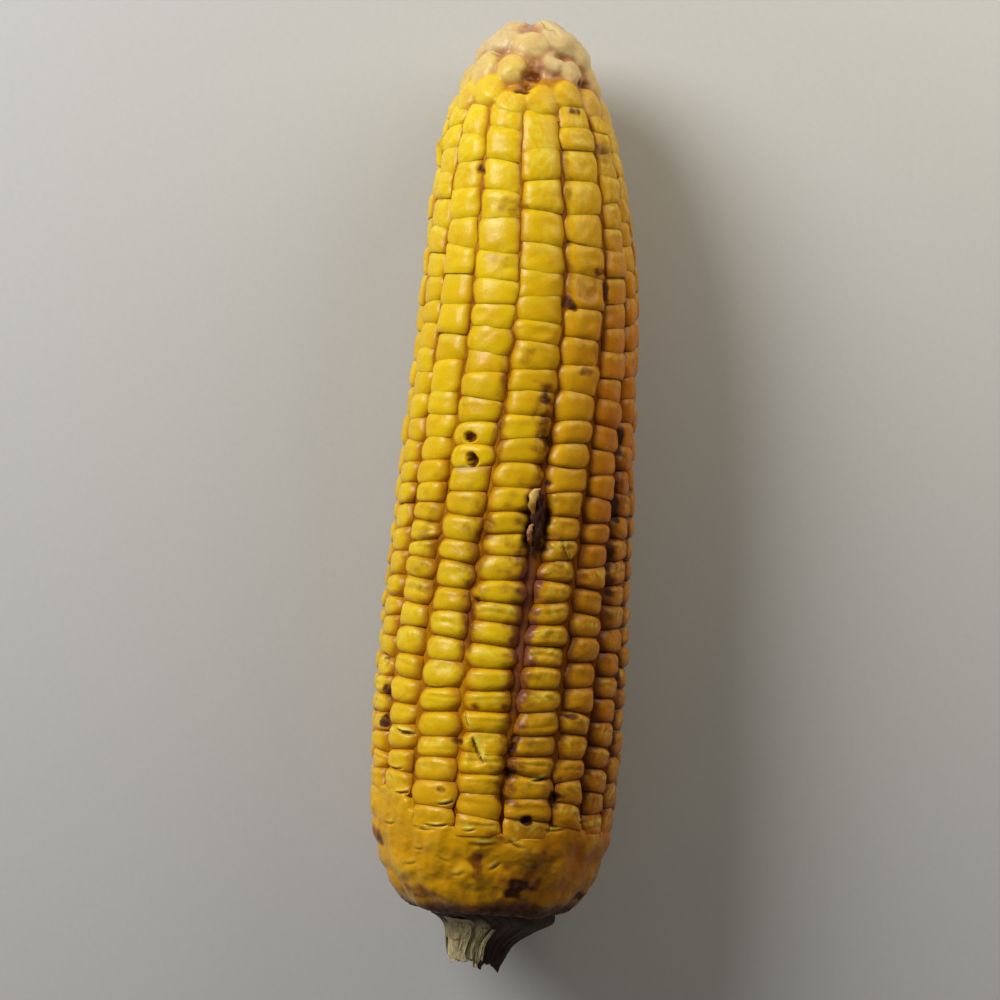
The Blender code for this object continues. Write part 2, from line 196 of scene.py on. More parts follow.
# %% The marks
CHAR_MARKS = [  # bearing, station, half across, half along, strength
    (12.2, 73.0, 2.3, 6.2, 1.15), (11.7, 96.0, 1.2, 1.6, 0.75), (13.4, 88.6, 1.2, 1.8, 0.8),
    (11.6, 83.0, 0.9, 2.6, 0.5), (7.7, 32.1, 1.3, 2.1, 0.8), (6.3, 27.0, 1.3, 1.9, 0.85),
    (4.4, 21.8, 1.6, 1.5, 0.6), (8.5, 47.0, 1.0, 9.0, 0.35), (63.4, 89.8, 0.9, 3.4, 1.0),
    (60.4, 77.6, 1.1, 4.2, 1.0), (57.6, 66.4, 0.8, 6.0, 0.8), (72.6, 47.6, 1.3, 3.6, 0.9),
    (69.6, 36.3, 1.3, 5.0, 0.9), (21.9, 114.3, 1.5, 1.3, 0.85), (44.8, 117.2, 0.9, 2.6, 0.8),
    (39.6, 120.6, 2.6, 0.8, 0.6), (33.4, 101.8, 1.9, 0.8, 0.6), (-31.5, 138.4, 1.0, 1.0, 0.8),
    (-9.9, 153.7, 1.7, 0.8, 0.65), (-2.1, 156.4, 1.6, 0.9, 0.6), (-1.2, 159.2, 1.2, 0.8, 0.5),
    (32.9, 150.3, 1.5, 0.7, 0.7), (54.7, 156.6, 1.8, 0.9, 0.7), (29.3, 22.4, 1.5, 1.7, 0.9),
    (15.7, 18.3, 1.4, 1.0, 0.85), (17.3, 6.0, 2.9, 1.7, 0.85), (13.7, 4.3, 2.2, 1.2, 0.85),
    (72.1, 3.3, 3.0, 1.0, 0.8), (-18.9, 32.0, 1.1, 0.9, 0.7), (-46.7, 32.5, 2.2, 0.4, 0.6),
    (20.4, 125.4, 1.1, 0.8, 0.55), (-14.2, 58.4, 0.7, 0.5, 0.7), (34.6, 37.9, 1.8, 0.5, 0.7),
    (-64.0, 39.3, 1.4, 1.6, 0.8), (-65.0, 34.0, 1.4, 1.5, 0.8), (-25.1, 22.7, 0.9, 0.6, 0.6),
]
BROWN_MARKS = [  # bearing, station, half across, half along, strength
    (12.0, 92.0, 2.2, 9.0, 0.8), (10.5, 68.0, 3.0, 13.0, 0.9), (9.0, 47.0, 2.8, 14.0, 0.85),
    (6.5, 28.0, 2.6, 9.0, 0.8), (-9.8, 98.2, 1.4, 6.0, 0.6), (-9.8, 89.9, 1.4, 4.5, 0.7),
    (-13.4, 71.2, 1.9, 4.0, 0.8), (-17.2, 56.0, 1.5, 9.0, 0.8), (62.0, 84.0, 1.8, 12.0, 0.8),
    (57.0, 62.0, 1.8, 12.0, 0.8), (70.5, 42.0, 2.0, 12.0, 0.7), (32.6, 117.0, 3.6, 3.0, 0.5),
    (20.5, 118.0, 1.4, 7.0, 0.6), (22.3, 139.0, 1.2, 6.0, 0.6), (-9.2, 131.5, 2.8, 2.0, 0.6),
    (-17.6, 122.1, 3.0, 0.9, 0.5), (-42.5, 70.1, 2.4, 2.0, 0.5), (36.0, 66.9, 1.3, 9.0, 0.7),
    (32.5, 50.0, 1.3, 10.0, 0.7), (40.3, 106.0, 1.2, 7.0, 0.5), (21.7, 65.1, 3.4, 2.2, 0.6),
    (26.2, 68.2, 1.2, 2.6, 0.7), (-76.1, 12.3, 3.2, 1.8, 0.9), (-6.0, 8.0, 1.4, 2.0, 0.7),
    (2.8, 14.7, 2.0, 1.4, 0.7), (17.0, 6.0, 5.0, 3.4, 0.8), (-44.6, 2.6, 6.0, 1.4, 0.8),
    (53.4, 143.8, 1.9, 2.0, 0.8), (-10.7, 38.7, 1.1, 0.9, 0.8), (2.7, 38.8, 0.9, 0.8, 0.8),
    (29.0, 24.0, 2.6, 3.4, 0.6), (-4.0, 60.6, 4.2, 1.2, 0.35), (-30.0, 97.0, 1.0, 20.0, 0.35),
    (-6.0, 112.0, 1.0, 14.0, 0.35), (-79.2, 143.6, 2.4, 1.2, 0.6), (15.0, 17.0, 4.0, 2.4, 0.5),
    (9.8, 66.0, 6.0, 16.0, 0.6), (-17.0, 66.0, 3.6, 14.0, 0.55), (-43.0, 66.0, 3.0, 12.0, 0.5),
    (10.6, 34.0, 4.0, 9.0, 0.55), (-6.0, 10.0, 1.3, 2.4, 1.1), (25.0, 10.8, 3.0, 2.2, 0.8),
    (2.0, 104.0, 3.0, 2.6, 0.5), (-14.0, 121.0, 3.4, 2.0, 0.5),
]
PURPLE_MARKS = [  # the same
    (10.3, 61.0, 2.2, 6.5, 0.9), (8.8, 52.0, 2.2, 6.5, 0.9), (8.8, 42.0, 1.6, 6.0, 0.7),
    (-16.9, 53.5, 1.0, 6.0, 0.5), (-42.9, 70.1, 1.6, 1.6, 0.5), (13.0, 79.0, 1.6, 3.0, 0.6),
]
PALE_MARKS = [(-24.6, 82.2, 2.4, 0.6, 0.5)]
HOLES = [  # bearing, station, radius, depth
    (-24.8, 88.2, 1.0, 2.6), (-22.2, 84.0, 1.15, 2.6), (-68.7, 45.4, 1.2, 2.4), (-65.0, 34.0, 0.9, 1.6),
    (29.6, 22.4, 0.8, 1.0), (15.7, 18.3, 0.7, 0.9), (7.6, 31.8, 0.8, 0.9),
]
SUNKEN = [  # bearing, station, half across, half along, depth
    (12.4, 72.6, 2.6, 6.6, 1.3), (33.0, 117.6, 3.4, 2.4, 0.5), (17.3, 5.6, 3.2, 2.0, 1.0),
    (-9.0, 30.2, 1.2, 2.6, 0.7),
]


RAGGED_WAVES = ((0.42, 0.9), (-0.57, 1.0), (0.11, 2.1), (0.84, -0.8), (-0.34, -2.6))


def ragged(bearing, station):
    """Slow waves in several directions, which keep a stain from being a neat oval."""
    total = np.zeros(np.broadcast(bearing, station).shape)
    for n, (across, along) in enumerate(RAGGED_WAVES):
        total += 0.13 * np.sin(bearing * across + station * along + 1.7 * n)
    return total


def reach(marks, bearing, station, softness=0.5, uneven=1.0):
    """How strongly the nearest marks act at each point: 1 in the middle of a full mark, 0 outside it."""
    edge = uneven * ragged(bearing, station)
    total = np.zeros(np.broadcast(bearing, station).shape)
    for at_bearing, at_station, across, along, strength in marks:
        off = (bearing - at_bearing + 180) % 360 - 180
        off = np.radians(off) * crown_radius(at_station)
        distance = np.hypot(off / across, (station - at_station) / along) + edge
        fall = np.clip((1 + softness - distance) / (2 * softness), 0, 1)
        total = np.maximum(total, strength * fall * fall * (3 - 2 * fall))
    return total


print(len(CHAR_MARKS), "charred and", len(BROWN_MARKS), "browned places")

# %% [markdown]
# ## Helpers for the pieces
# All of the pieces are made the same way. Points are worked out on the map, laid out as arrays, and written
# into a mesh together with a few numbers per point. The materials read those numbers, so a colour always
# stays with the shape that it belongs to.

# %% A piece from arrays
TINTS = ("depth", "tone", "brown", "char", "purple", "pale", "cooked_and_shaded", "wax_and_highlight", "gold")


def make_piece(name, points, faces, tints, node):
    """A smooth-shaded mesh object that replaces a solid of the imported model."""
    points[:, 2] = np.maximum(points[:, 2], 0.0)  # pressed flat where the ear rests
    mesh = bpy.data.meshes.new(name)
    mesh.from_pydata(points.tolist(), [], faces)
    mesh.shade_smooth()
    for tint in TINTS:
        layer = mesh.attributes.new(tint, "FLOAT", "POINT")
        values = np.broadcast_to(tints.get(tint, 0.0), len(points))
        layer.data.foreach_set("value", np.ascontiguousarray(values, np.float32))
    mesh.update()
    piece = bpy.data.objects.new(name, mesh)
    bpy.context.scene.collection.objects.link(piece)
    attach(piece, "root")
    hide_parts(node)
    return piece


print("each point of a piece carries", len(TINTS), "numbers:", ", ".join(TINTS))

# %% [markdown]
# No skin is even. A sum of waves in random directions is enough to show it, and seeded dice make it come out
# the same each time. Single kernels get waves of their own, and the merged skins get waves that run on round
# the ear. A soft window says in which part of the ear an effect acts.

# %% Uneven skin
def waves(dice, x, y, lengths, height, kernels=1):
    """Gentle unevenness: a sum of waves in random directions, different for each kernel."""
    total = 0.0
    for length in lengths:
        turn = dice.uniform(0, 2 * np.pi, (kernels, 1, 1))
        phase = dice.uniform(0, 2 * np.pi, (kernels, 1, 1))
        total = total + np.sin((x * np.cos(turn) + y * np.sin(turn)) * 2 * np.pi / length + phase)
    return height * total / math.sqrt(len(lengths))


def ripples(dice, bearing, station, radius, lengths, height):
    """Unevenness that runs on all the way round the ear, from waves in random directions through it."""
    angle = np.radians(bearing)
    at = np.stack([radius * np.sin(angle), station, radius * np.cos(angle)], axis=-1)
    total = np.zeros(bearing.shape)
    for length in lengths:
        for _ in range(7):
            turn = dice.normal(size=3)
            total += np.sin(at @ (turn / np.linalg.norm(turn)) * 2 * np.pi / length + dice.uniform(0, 6.28))
    return height * total / math.sqrt(7 * len(lengths))


def window(station, start, end, soft=3.0):
    """1 between two stations, 0 outside them, with soft ends."""
    return np.clip((station - start) / soft + 0.5, 0, 1) * np.clip((end - station) / soft + 0.5, 0, 1)


opening = [float(window(at, 10, 20)) for at in (8, 10, 12)]
print("a window from 10 to 20 mm is open by", opening, "at 8, 10 and 12 mm")

# %% [markdown]
# A kernel is a pad: a grid of points for the skin, two rings below its rim for the walls, and one face under
# it. A closed pad needs no care about what is hidden, because its neighbours and the chaff cover its walls.

# %% Faces of a pad
def pad_faces(cells_across, cells_along, rings):
    """Faces of one pad: its skin, the walls below its rim, and its underside."""
    index = np.arange((cells_across + 1) * (cells_along + 1)).reshape(cells_across + 1, cells_along + 1)
    skin = np.stack([index[:-1, :-1], index[1:, :-1], index[1:, 1:], index[:-1, 1:]], axis=-1).reshape(-1, 4)
    rim = np.concatenate([index[:, 0], index[-1, 1:], index[-2::-1, -1], index[0, -2:0:-1]])
    around = len(rim)
    loops = [rim] + [index.size + ring * around + np.arange(around) for ring in range(rings)]
    walls = []
    for upper, lower in zip(loops, loops[1:]):
        walls.append(np.stack([upper, lower, np.roll(lower, -1), np.roll(upper, -1)], axis=-1))
    return skin, rim, np.concatenate(walls), loops[-1][::-1]


print(len(pad_faces(38, 26, 2)[0]), "faces in the skin of a kernel that shows")

# %% [markdown]
# ## Slits and holes
# Dried skin splits. A slit is a short bent line that sinks the skin along itself and raises a thin pale lip
# beside it. A hole, where something bit or a kernel popped, is a steep pit with an uneven edge. Both are
# worked out as depths over the map, so they can cross from one kernel to the next.

# %% Slits and holes
SLITS = [  # bearing, station, half length, turn from across the ear, width, depth
    (-8.8, 30.4, 2.8, -62.0, 0.34, 0.8), (26.2, 68.2, 2.2, -64.0, 0.22, 0.5),
    (-26.9, 15.9, 2.4, 4.0, 0.16, 0.6), (-22.3, 20.2, 1.6, 14.0, 0.18, 0.6),
    (-46.9, 21.3, 1.8, 4.0, 0.18, 0.6), (-46.7, 32.5, 2.3, -8.0, 0.24, 0.8),
    (21.0, 25.7, 1.7, 12.0, 0.24, 0.6), (-31.0, 41.5, 2.6, 2.0, 0.12, 0.3),
    (-14.5, 36.0, 1.6, -70.0, 0.2, 0.5), (-24.0, 9.6, 1.2, -30.0, 0.24, 0.3),
    (3.0, 8.8, 1.3, 34.0, 0.26, 0.35), (20.0, 9.4, 1.5, -12.0, 0.24, 0.3),
    (-45.0, 8.0, 1.6, 10.0, 0.26, 0.3), (-10.0, 15.6, 1.3, 12.0, 0.22, 0.35),
    (-38.0, 11.0, 1.4, 8.0, 0.2, 0.3), (-4.0, 12.9, 2.6, 3.0, 0.3, 0.3),
    (12.0, 13.4, 1.6, -24.0, 0.3, 0.35), (-16.0, 7.0, 1.7, 22.0, 0.34, 0.28),
    (-33.0, 15.0, 2.6, 2.0, 0.22, 0.35), (31.0, 16.4, 2.4, 4.0, 0.26, 0.35),
    (-58.0, 15.0, 2.0, 6.0, 0.22, 0.4), (-52.0, 25.6, 2.4, 2.0, 0.18, 0.45),
    (47.0, 18.0, 1.8, -3.0, 0.22, 0.3),
]


def across_from(mark_bearing, mark_station, bearing, station):
    """Distances in mm across and along the ear from a place on it."""
    off = np.radians((bearing - mark_bearing + 180) % 360 - 180) * crown_radius(mark_station)
    return off, station - mark_station


def slit_relief(bearing, station):
    """How far the slits sink the skin and raise their lips, in mm: (sunken, raised)."""
    sunken, raised = np.zeros(bearing.shape), np.zeros(bearing.shape)
    for at_bearing, at_station, half, turn, width, depth in SLITS:
        off, on = across_from(at_bearing, at_station, bearing, station)
        angle = math.radians(turn)
        run = off * math.cos(angle) + on * math.sin(angle)
        cut = on * math.cos(angle) - off * math.sin(angle) - 0.16 * np.abs(run) ** 1.5 / half
        fades = np.clip(1 - (run / half) ** 2, 0, 1)
        sunken = np.maximum(sunken, depth * np.sqrt(fades) * np.exp(-((cut / width) ** 2)))
        lip = np.exp(-(((cut - 2.2 * width) / (1.5 * width)) ** 2))
        raised = np.maximum(raised, 0.45 * depth * fades * lip)
    return sunken, raised


def hole_depth(bearing, station):
    """Depth of the holes in mm, with uneven steep edges."""
    deepest = np.zeros(bearing.shape)
    for at_bearing, at_station, radius, depth in HOLES:
        off, on = across_from(at_bearing, at_station, bearing, station)
        turn = np.arctan2(on, off)
        edge = radius * (1 + 0.14 * np.cos(2 * turn + at_station) + 0.1 * np.cos(3 * turn))
        deepest = np.maximum(deepest, depth / (1 + np.exp((np.hypot(off, on) - edge) / 0.06)))
    return deepest


print(len(SLITS), "slits and", len(HOLES), "holes")

# %% [markdown]
# ## Grooves, and how far each part is cooked
# No groove keeps one depth or one shade of brown for long, so both change slowly along it. The colour deepens
# on the right, away from the key light, and towards the stalk, which is painted shade as well as cooking.
# These are plain functions of the place on the map, which every piece can ask, so the colour runs on from one
# piece to the next.

# %% Groove depth, cooking and painted shade
DEEP_GROOVES = {4: 1.35, 6: 1.45}  # grooves that are deeper than the others, and by how much


def groove_depth(groove, station):
    """How much deeper or shallower than usual a groove is at a station."""
    phase = groove % ROWS * 2.4
    uneven = 1 + 0.14 * np.sin(station / 5.1 + phase) + 0.1 * np.sin(station / 2.7 + 2 * phase)
    return uneven * DEEP_GROOVES.get(groove % ROWS, 1.0) * (1 - 0.35 * window(station, 108, 190, 20))


def groove_shade(groove, station):
    """How dark a groove is from place to place, between 0.1 and 1: painted shade in the creases of the
    kernels and brown on the chaff.
    """
    phase = groove % ROWS * 1.7
    shade = 0.5 + 0.36 * np.sin(station / 6.3 + phase) + 0.3 * np.sin(station / 2.9 - 2 * phase)
    return np.clip(shade, 0.1, 1)


def cooked_and_shaded(bearing, station):
    """How much deeper the colour is: most on the right, away from the key light, and towards the stalk;
    painted shade as well as cooking.
    """
    turn = (bearing + 180) % 360 - 180
    side = np.clip((turn + 14) / 66, 0, 1) - 0.4 * np.clip((turn - 100) / 80, 0, 1)
    side = side + 0.6 * np.clip((-turn - 110) / 70, 0, 1)
    side = side * (1 - 0.5 * np.clip((station - 105) / 40, 0, 1))
    stalk_end = np.maximum(0.3 * np.clip((30 - station) / 30, 0, 1), 0.16 * window(station, 44, 128, 36))
    return np.maximum(side, stalk_end) + 0.3 * np.minimum(side, stalk_end)


def golden(station):
    """The colour warms evenly to gold towards the stalk."""
    return np.clip((46 - station) / 34, 0, 1)


# The right, away from the key light, comes out deeper: painted shade as well as cooking.
print(f"cooked: {cooked_and_shaded(-40.0, 80.0):.2f} on the pale side, {cooked_and_shaded(60.0, 80.0):.2f} towards the fire")

# %% [markdown]
# ## The outline of each kernel
# A kernel is a pillow of starch in a thin waxy skin. Its neighbours in the row press it flat at the seams,
# and it bulges towards the grooves. A whole row is worked out at once: the first axis of each array counts
# the kernels, the second runs across a kernel and the third along it. Every kernel throws its own dice, but
# a seam has one value that the kernels on both sides share, so they still fit.

# %% Outlines of the kernels
DRIED = (-20, 72, 16)  # where the kernels have dried: from, to, and how softly that starts and ends
PLUMP = (84, 190, 24)  # where they are plump and press their neighbours flat
BULBOUS = (134, 190, 14)
OVERLAP = 0.05  # mm that a kernel reaches past its seams, so that no gap opens
WIDE_GROOVE = 4  # the one that the burst kernel lies in


class RowDice:
    """The dice of one row: a value for each kernel, or one for each seam that both kernels share."""

    def __init__(self, dice, kernels):
        self.dice, self.kernels = dice, kernels

    def each(self, least, most):
        return self.dice.uniform(least, most, (self.kernels, 1, 1))

    def shared(self, least, most, share):
        values = self.dice.uniform(least, most, self.kernels + 1)
        return values[:-1].reshape(-1, 1, 1) * (1 - share) + values[1:].reshape(-1, 1, 1) * share

    def waves(self, x, y, lengths, height):
        return waves(self.dice, x, y, lengths, height, self.kernels)


def kernel_outlines(row, seams, dice, cells):
    """The places on the map of all points of a row's kernels, with what the later steps need to know."""
    near, far = seams[:-1].reshape(-1, 1, 1), seams[1:].reshape(-1, 1, 1)
    middle, half = (near + far) / 2, (far - near) / 2
    a, b = (np.sin(np.linspace(-1, 1, count + 1) * np.pi / 2) for count in cells)
    a, b = a.reshape(1, -1, 1), b.reshape(1, 1, -1)
    low, high = window(middle, *DRIED), window(middle, *PLUMP)

    scalloped = dice.each(0.12, 0.3) * (1 - 0.4 * high) + 0.08 * window(middle, 30, 96, 16)
    p = a * np.sqrt(1 - scalloped * b**2)
    q = b * np.sqrt(1 - (dice.each(0.03, 0.12) + 0.05 * high) * a**2)
    share = (q + 1) / 2
    tilt = dice.shared(-0.42, 0.42, share) * (1 + 0.4 * high + 0.3 * low)
    station = middle + q * (half + OVERLAP + 0.14 * high) + tilt * p
    station = station + dice.shared(-0.18, 0.4, share) * (0.5 - p**2)
    degree = np.radians(1) * crown_radius(station)

    def inset(groove):
        wide = dice.each(-0.16, 0.3) * (1 - 0.3 * high) - 0.05 * high
        if groove % ROWS == WIDE_GROOVE:
            wide = wide + 0.55 * window(station, 36, 70, 10) + 0.4 * window(station, 64, 79, 5)
        return wide / degree

    left = groove_bearing(row, station) + inset(row)
    right = groove_bearing(row + 1, station) - inset(row + 1)
    bearing = (left + right) / 2 + p * (right - left) / 2
    x = (bearing - groove_bearing(row, middle)) * degree
    return SimpleNamespace(
        a=a, b=b, low=low, high=high, middle=middle, share=share, station=station, bearing=bearing,
        middle_bearing=(left + right) / 2, x=x, y=station,
    )


print(f"the seams of the top row are {np.mean(np.diff(SEAMS[3])):.1f} mm apart on average")

# %% [markdown]
# ## The relief of each kernel
# The relief is a list of things that happened to a pillow, added up in millimetres. First comes the pillow,
# which drops to its grooves and seams. Then comes its skin: every kernel is a little lifted or tilted, the
# lower ones have dried into a fold and fine wrinkles, and many have a dent. The marks of the fire come last.

# %% Relief of the kernels
GROOVE_DROP, SEAM_DROP = 1.5, 0.72
RAISED = [  # bearing, station, half across, half along, height
    (-42.0, 69.0, 2.0, 1.6, 0.25), (-80.0, 143.4, 2.2, 1.8, 0.7), (62.0, 145.5, 2.0, 3.0, 0.45),
    (66.0, 139.0, 1.8, 2.4, 0.4),
]
MERGED = [  # where the seams have flowed together: bearing, station, half across, half along, how much
    (-4.0, 29.6, 2.6, 3.2, 1.0), (-4.5, 62.0, 3.0, 2.6, 0.6), (31.0, 24.5, 2.6, 3.0, 0.6),
    (12.0, 17.0, 3.0, 3.0, 0.6),
]


def rounded(across, blocky, share, steeper):
    """0 on top of a pillow and 1 at its rim, flatter on top and steeper at the rim the more blocky it is."""
    curve = 1 - np.sqrt(np.clip(1 - np.abs(across) ** blocky, 0, 1))
    return share * curve + (1 - share) * np.abs(across) ** (blocky + steeper)


def pillow_drop(k, row, row_start, dice):
    """How far the pillows drop to their grooves and seams, in mm."""
    bulbous = window(k.middle, *BULBOUS)
    k.side = rounded(k.a, dice.each(2.4, 3.3) - 0.4 * k.low - 0.3 * bulbous - 0.35 * k.high, 0.45, 1)
    k.end = rounded(k.b, dice.each(2.6, 3.6) - 0.8 * k.low - 0.3 * bulbous - 0.5 * k.high, 0.35, 1.5)
    deep = np.where(k.a < 0, groove_depth(row, k.station), groove_depth(row + 1, k.station))
    pressed = dice.shared(0.45, 1.35, k.share) - 0.1 * k.high
    pressed = SEAM_DROP * (1 + 0.35 * k.low - 0.05 * k.high) * pressed
    flat = 1 - 0.85 * reach(MERGED, k.bearing, k.station, 0.8)
    flat = flat * (0.6 + 0.4 * np.clip((k.station - 18) / 9, 0, 1))
    k.flat = flat * (1 - 0.75 * np.clip((row_start + 1.6 - k.station) / 2.4, 0, 1))
    return (GROOVE_DROP * deep * k.side + pressed * k.end * (1 - 0.6 * k.side)) * k.flat


def skin_relief(k, dice):
    """How the skin of each kernel rises and falls over its pillow, in mm."""
    a, b, low, high = k.a, k.b, k.low, k.high
    lift = dice.each(-0.16, 0.16) * (1 + 0.7 * high) + dice.each(-0.14, 0.14) * a
    lift = lift + (dice.each(-0.1, 0.16) + 0.06) * -b
    skin = dice.waves(k.x, k.y, (5.2, 3.9, 2.7), 0.045) + dice.waves(k.x, k.y, (1.5, 1.1), 0.006)
    fold_at = dice.each(-0.35, 0.35) + dice.each(-0.25, 0.25) * a + dice.each(-0.3, 0.1) * a**2
    fold = np.exp(-(((b - fold_at) / dice.each(0.12, 0.24)) ** 2)) * (1 - np.abs(a) ** 4)
    fold = fold * np.maximum(dice.each(-0.16, 0.18) * low, 0)
    lip = np.exp(-(((b - 0.5) / 0.24) ** 2)) * dice.each(0.0, 0.16) * (low + 0.4 * high) * (1 - a**4)
    wrinkles = low * dice.each(0.2, 1.0) * dice.waves(k.x * 0.6, k.y, (1.7, 1.2, 0.8), 0.022)
    dent_a, dent_b = dice.each(-0.6, 0.6), dice.each(-0.5, 0.5)
    dent = np.exp(-(((a - dent_a) / 0.4) ** 2 + ((b - dent_b) / 0.45) ** 2))
    dent = dent * dice.each(-0.1, 0.16) * (1 + low)
    return lift + skin + lip + wrinkles - fold - dent


def marked(marks, k, softness):
    """The height or depth that a list of marks gives each point, in mm."""
    total = np.zeros(k.bearing.shape)
    for *place_and_size, amount in marks:
        acts = reach([(*place_and_size, 1.0)], k.bearing, k.station, softness, 0.3)
        total = np.maximum(total, amount * acts)
    return total


def kernel_radius(k, row, row_start, dice):
    """The distance of every point of the row from the axis of the ear, in mm."""
    drop = pillow_drop(k, row, row_start, dice)
    skin = skin_relief(k, dice)
    k.holes = hole_depth(k.bearing, k.station)
    k.slit, k.slit_lip = slit_relief(k.bearing, k.station)
    k.char = reach(CHAR_MARKS, k.bearing, k.station, 0.6)
    damage = marked(SUNKEN, k, 0.6) + k.holes + k.slit + 0.2 * k.char - marked(RAISED, k, 0.5) - k.slit_lip
    return crown_radius(k.station) - drop + skin - damage


print("relief ready: grooves", GROOVE_DROP, "mm deep, seams", SEAM_DROP, "mm")

# %% [markdown]
# ## The colour of each kernel
# Only numbers are stored here, the materials turn them into colours. Depth darkens a kernel towards its rim
# and in its holes, which is painted shade in the creases. Pale wax lies in blotches on the dried kernels,
# along a slit's lip and over the youngest kernels near the tip, and the same number paints a highlight over
# the upper half and the upper rims of the kernels.

# %% Tints of the kernels
def kernel_tints(k, row, dice):
    """The numbers that the materials read, as one array for each of them."""
    shade = np.where(k.a < 0, groove_shade(row, k.station), groove_shade(row + 1, k.station))
    # Painted shade: darker towards the grooves and the seams of each kernel, through the depth number.
    crease = 1.35 * k.side ** (1 + 0.35 * k.high) * (1 - 0.6 * k.high * (1 - shade))
    crease = crease + (0.9 - 0.6 * k.high) * k.end
    blotch = np.clip(0.5 + dice.waves(k.x, k.y, (2.6, 1.7, 1.2), 0.75), 0, 1)
    # Pale wax and painted highlight: a light band over the upper half of the dried kernels and along the
    # upper rims of the plump ones, with pale blotches near the tip.
    wax_and_highlight = k.low * np.exp(-(((k.b - 0.35) / 0.5) ** 2)) * dice.each(0.1, 1.0) * blotch
    wax_and_highlight = wax_and_highlight + k.high * dice.each(0.0, 0.5) * np.exp(-(((k.b - 0.6) / 0.3) ** 2))
    wax_and_highlight = wax_and_highlight + 0.6 * np.clip((k.station - 116) / 30, 0, 1) * blotch
    # Holes and slits darken the deeper they sink: partly burnt skin, partly painted shade in the recess.
    burnt_and_shaded = np.clip(np.maximum(k.holes * 1.5 - 0.3, k.slit * 1.9 - 0.1), 0, 0.6)
    return {
        "depth": np.clip(crease * k.flat, 0, 1.2) + np.clip(k.holes, 0, 1) * 0.6,
        "tone": dice.each(0, 1),
        "brown": np.maximum(reach(BROWN_MARKS, k.bearing, k.station, 0.9), np.clip(k.slit, 0, 0.5)),
        "char": np.maximum(k.char, burnt_and_shaded),
        "purple": reach(PURPLE_MARKS, k.bearing, k.station, 0.7),
        "pale": reach(PALE_MARKS, k.bearing, k.station, 0.5),
        "cooked_and_shaded": cooked_and_shaded(k.bearing, k.station),
        "gold": golden(k.station),
        "wax_and_highlight": wax_and_highlight * (1 - np.abs(k.a) ** 3) + np.clip(k.slit_lip * 5, 0, 1),
    }


print(len(BROWN_MARKS) + len(CHAR_MARKS) + len(PURPLE_MARKS) + len(PALE_MARKS), "stains to read")

# %% [markdown]
# ## The rows
# Each kernel becomes a closed pad, and each row is one piece, as a strip of kernels comes off an ear. The
# rows that the camera sees get a fine grid, and those at the back a coarse one, which saves many faces.

# %% Rows of kernels
WALLS = ((0.7, 0.98), (1.8, 0.9))  # depth below the rim in mm, and how much of the width is left
SHOWN_CELLS, HIDDEN_CELLS = (38, 26), (14, 10)
ROW_END_SHIFTS = (0.6, -0.5, 0.3, -1.0, 0.7, -0.2, 0.5)


def kernel_row(row, seams, dice, cells):
    """Points, faces and tints of one row of kernels."""
    seams = np.array(seams)
    kernels = len(seams) - 1
    dice = RowDice(dice, kernels)
    k = kernel_outlines(row, seams, dice, cells)
    radius = kernel_radius(k, row, seams[0], dice)
    faces, rim, walls, under = pad_faces(*cells, len(WALLS))
    flat = lambda values: np.broadcast_to(values, k.bearing.shape).reshape(kernels, -1)
    rim_bearing, rim_station, rim_radius = (flat(values)[:, rim] for values in (k.bearing, k.station, radius))
    middle_station, middle_bearing = k.middle.reshape(-1, 1), flat(k.middle_bearing)[:, rim]
    rings = [place(k.bearing, k.station, radius).reshape(kernels, -1, 3)]
    for below, kept in WALLS:
        ring_bearing = middle_bearing + (rim_bearing - middle_bearing) * kept
        ring_station = middle_station + (rim_station - middle_station) * kept
        rings.append(place(ring_bearing, ring_station, rim_radius - below))
    points = np.concatenate(rings, axis=1)
    offsets = (np.arange(kernels) * points.shape[1]).reshape(-1, 1, 1)
    all_faces = (np.concatenate([faces, walls])[None] + offsets).reshape(-1, 4).tolist()
    all_faces += (under[None] + offsets[:, :, 0]).tolist()

    def whole(values):
        values = flat(values)
        return np.concatenate([values] + [values[:, rim]] * len(WALLS), axis=1).reshape(-1)

    tints = {name: whole(values) for name, values in kernel_tints(k, row, dice).items()}
    return points.reshape(-1, 3), all_faces, tints


row_dice = np.random.default_rng(SEED)
kernel_pieces = []
for row in range(ROWS):
    seams = SEAMS[row][BUTT_KERNELS[row] :]
    seams[-1] += ROW_END_SHIFTS[row % len(ROW_END_SHIFTS)]
    cells = SHOWN_CELLS if row < len(UPPER_ROWS) else HIDDEN_CELLS
    points, faces, tints = kernel_row(row, seams, row_dice, cells)
    kernel_pieces.append(make_piece(f"kernels_row_{row + 1:02d}", points, faces, tints, "kernels"))
print(sum(len(piece.data.polygons) for piece in kernel_pieces), "faces in the rows")

# %% [markdown]
# ## Skins that run round the ear
# The chaff, the crust at the stalk and the melted tip are skins that go all the way round. Each is swept from
# a path of stations and radii, then pushed outwards by its own relief. A skin either comes back to the start
# of its path or is closed by one point at each end, so it never leaves an open edge.

# %% A swept skin
def tube_faces(index, closed):
    """Faces of a grid that wraps round the ear; one that isn't closed has two more points, as its ends."""
    after = np.roll(index, -1, axis=0)
    if closed:
        nexts, after_nexts = np.roll(index, -1, axis=1), np.roll(after, -1, axis=1)
        return np.stack([index, after, after_nexts, nexts], axis=-1).reshape(-1, 4).tolist()
    corners = index[:, :-1], after[:, :-1], after[:, 1:], index[:, 1:]
    faces = np.stack(corners, axis=-1).reshape(-1, 4).tolist()
    start, end = index.size, index.size + 1
    faces += [(int(after[n, 0]), int(index[n, 0]), start) for n in range(len(index))]
    faces += [(int(index[n, -1]), int(after[n, -1]), end) for n in range(len(index))]
    return faces


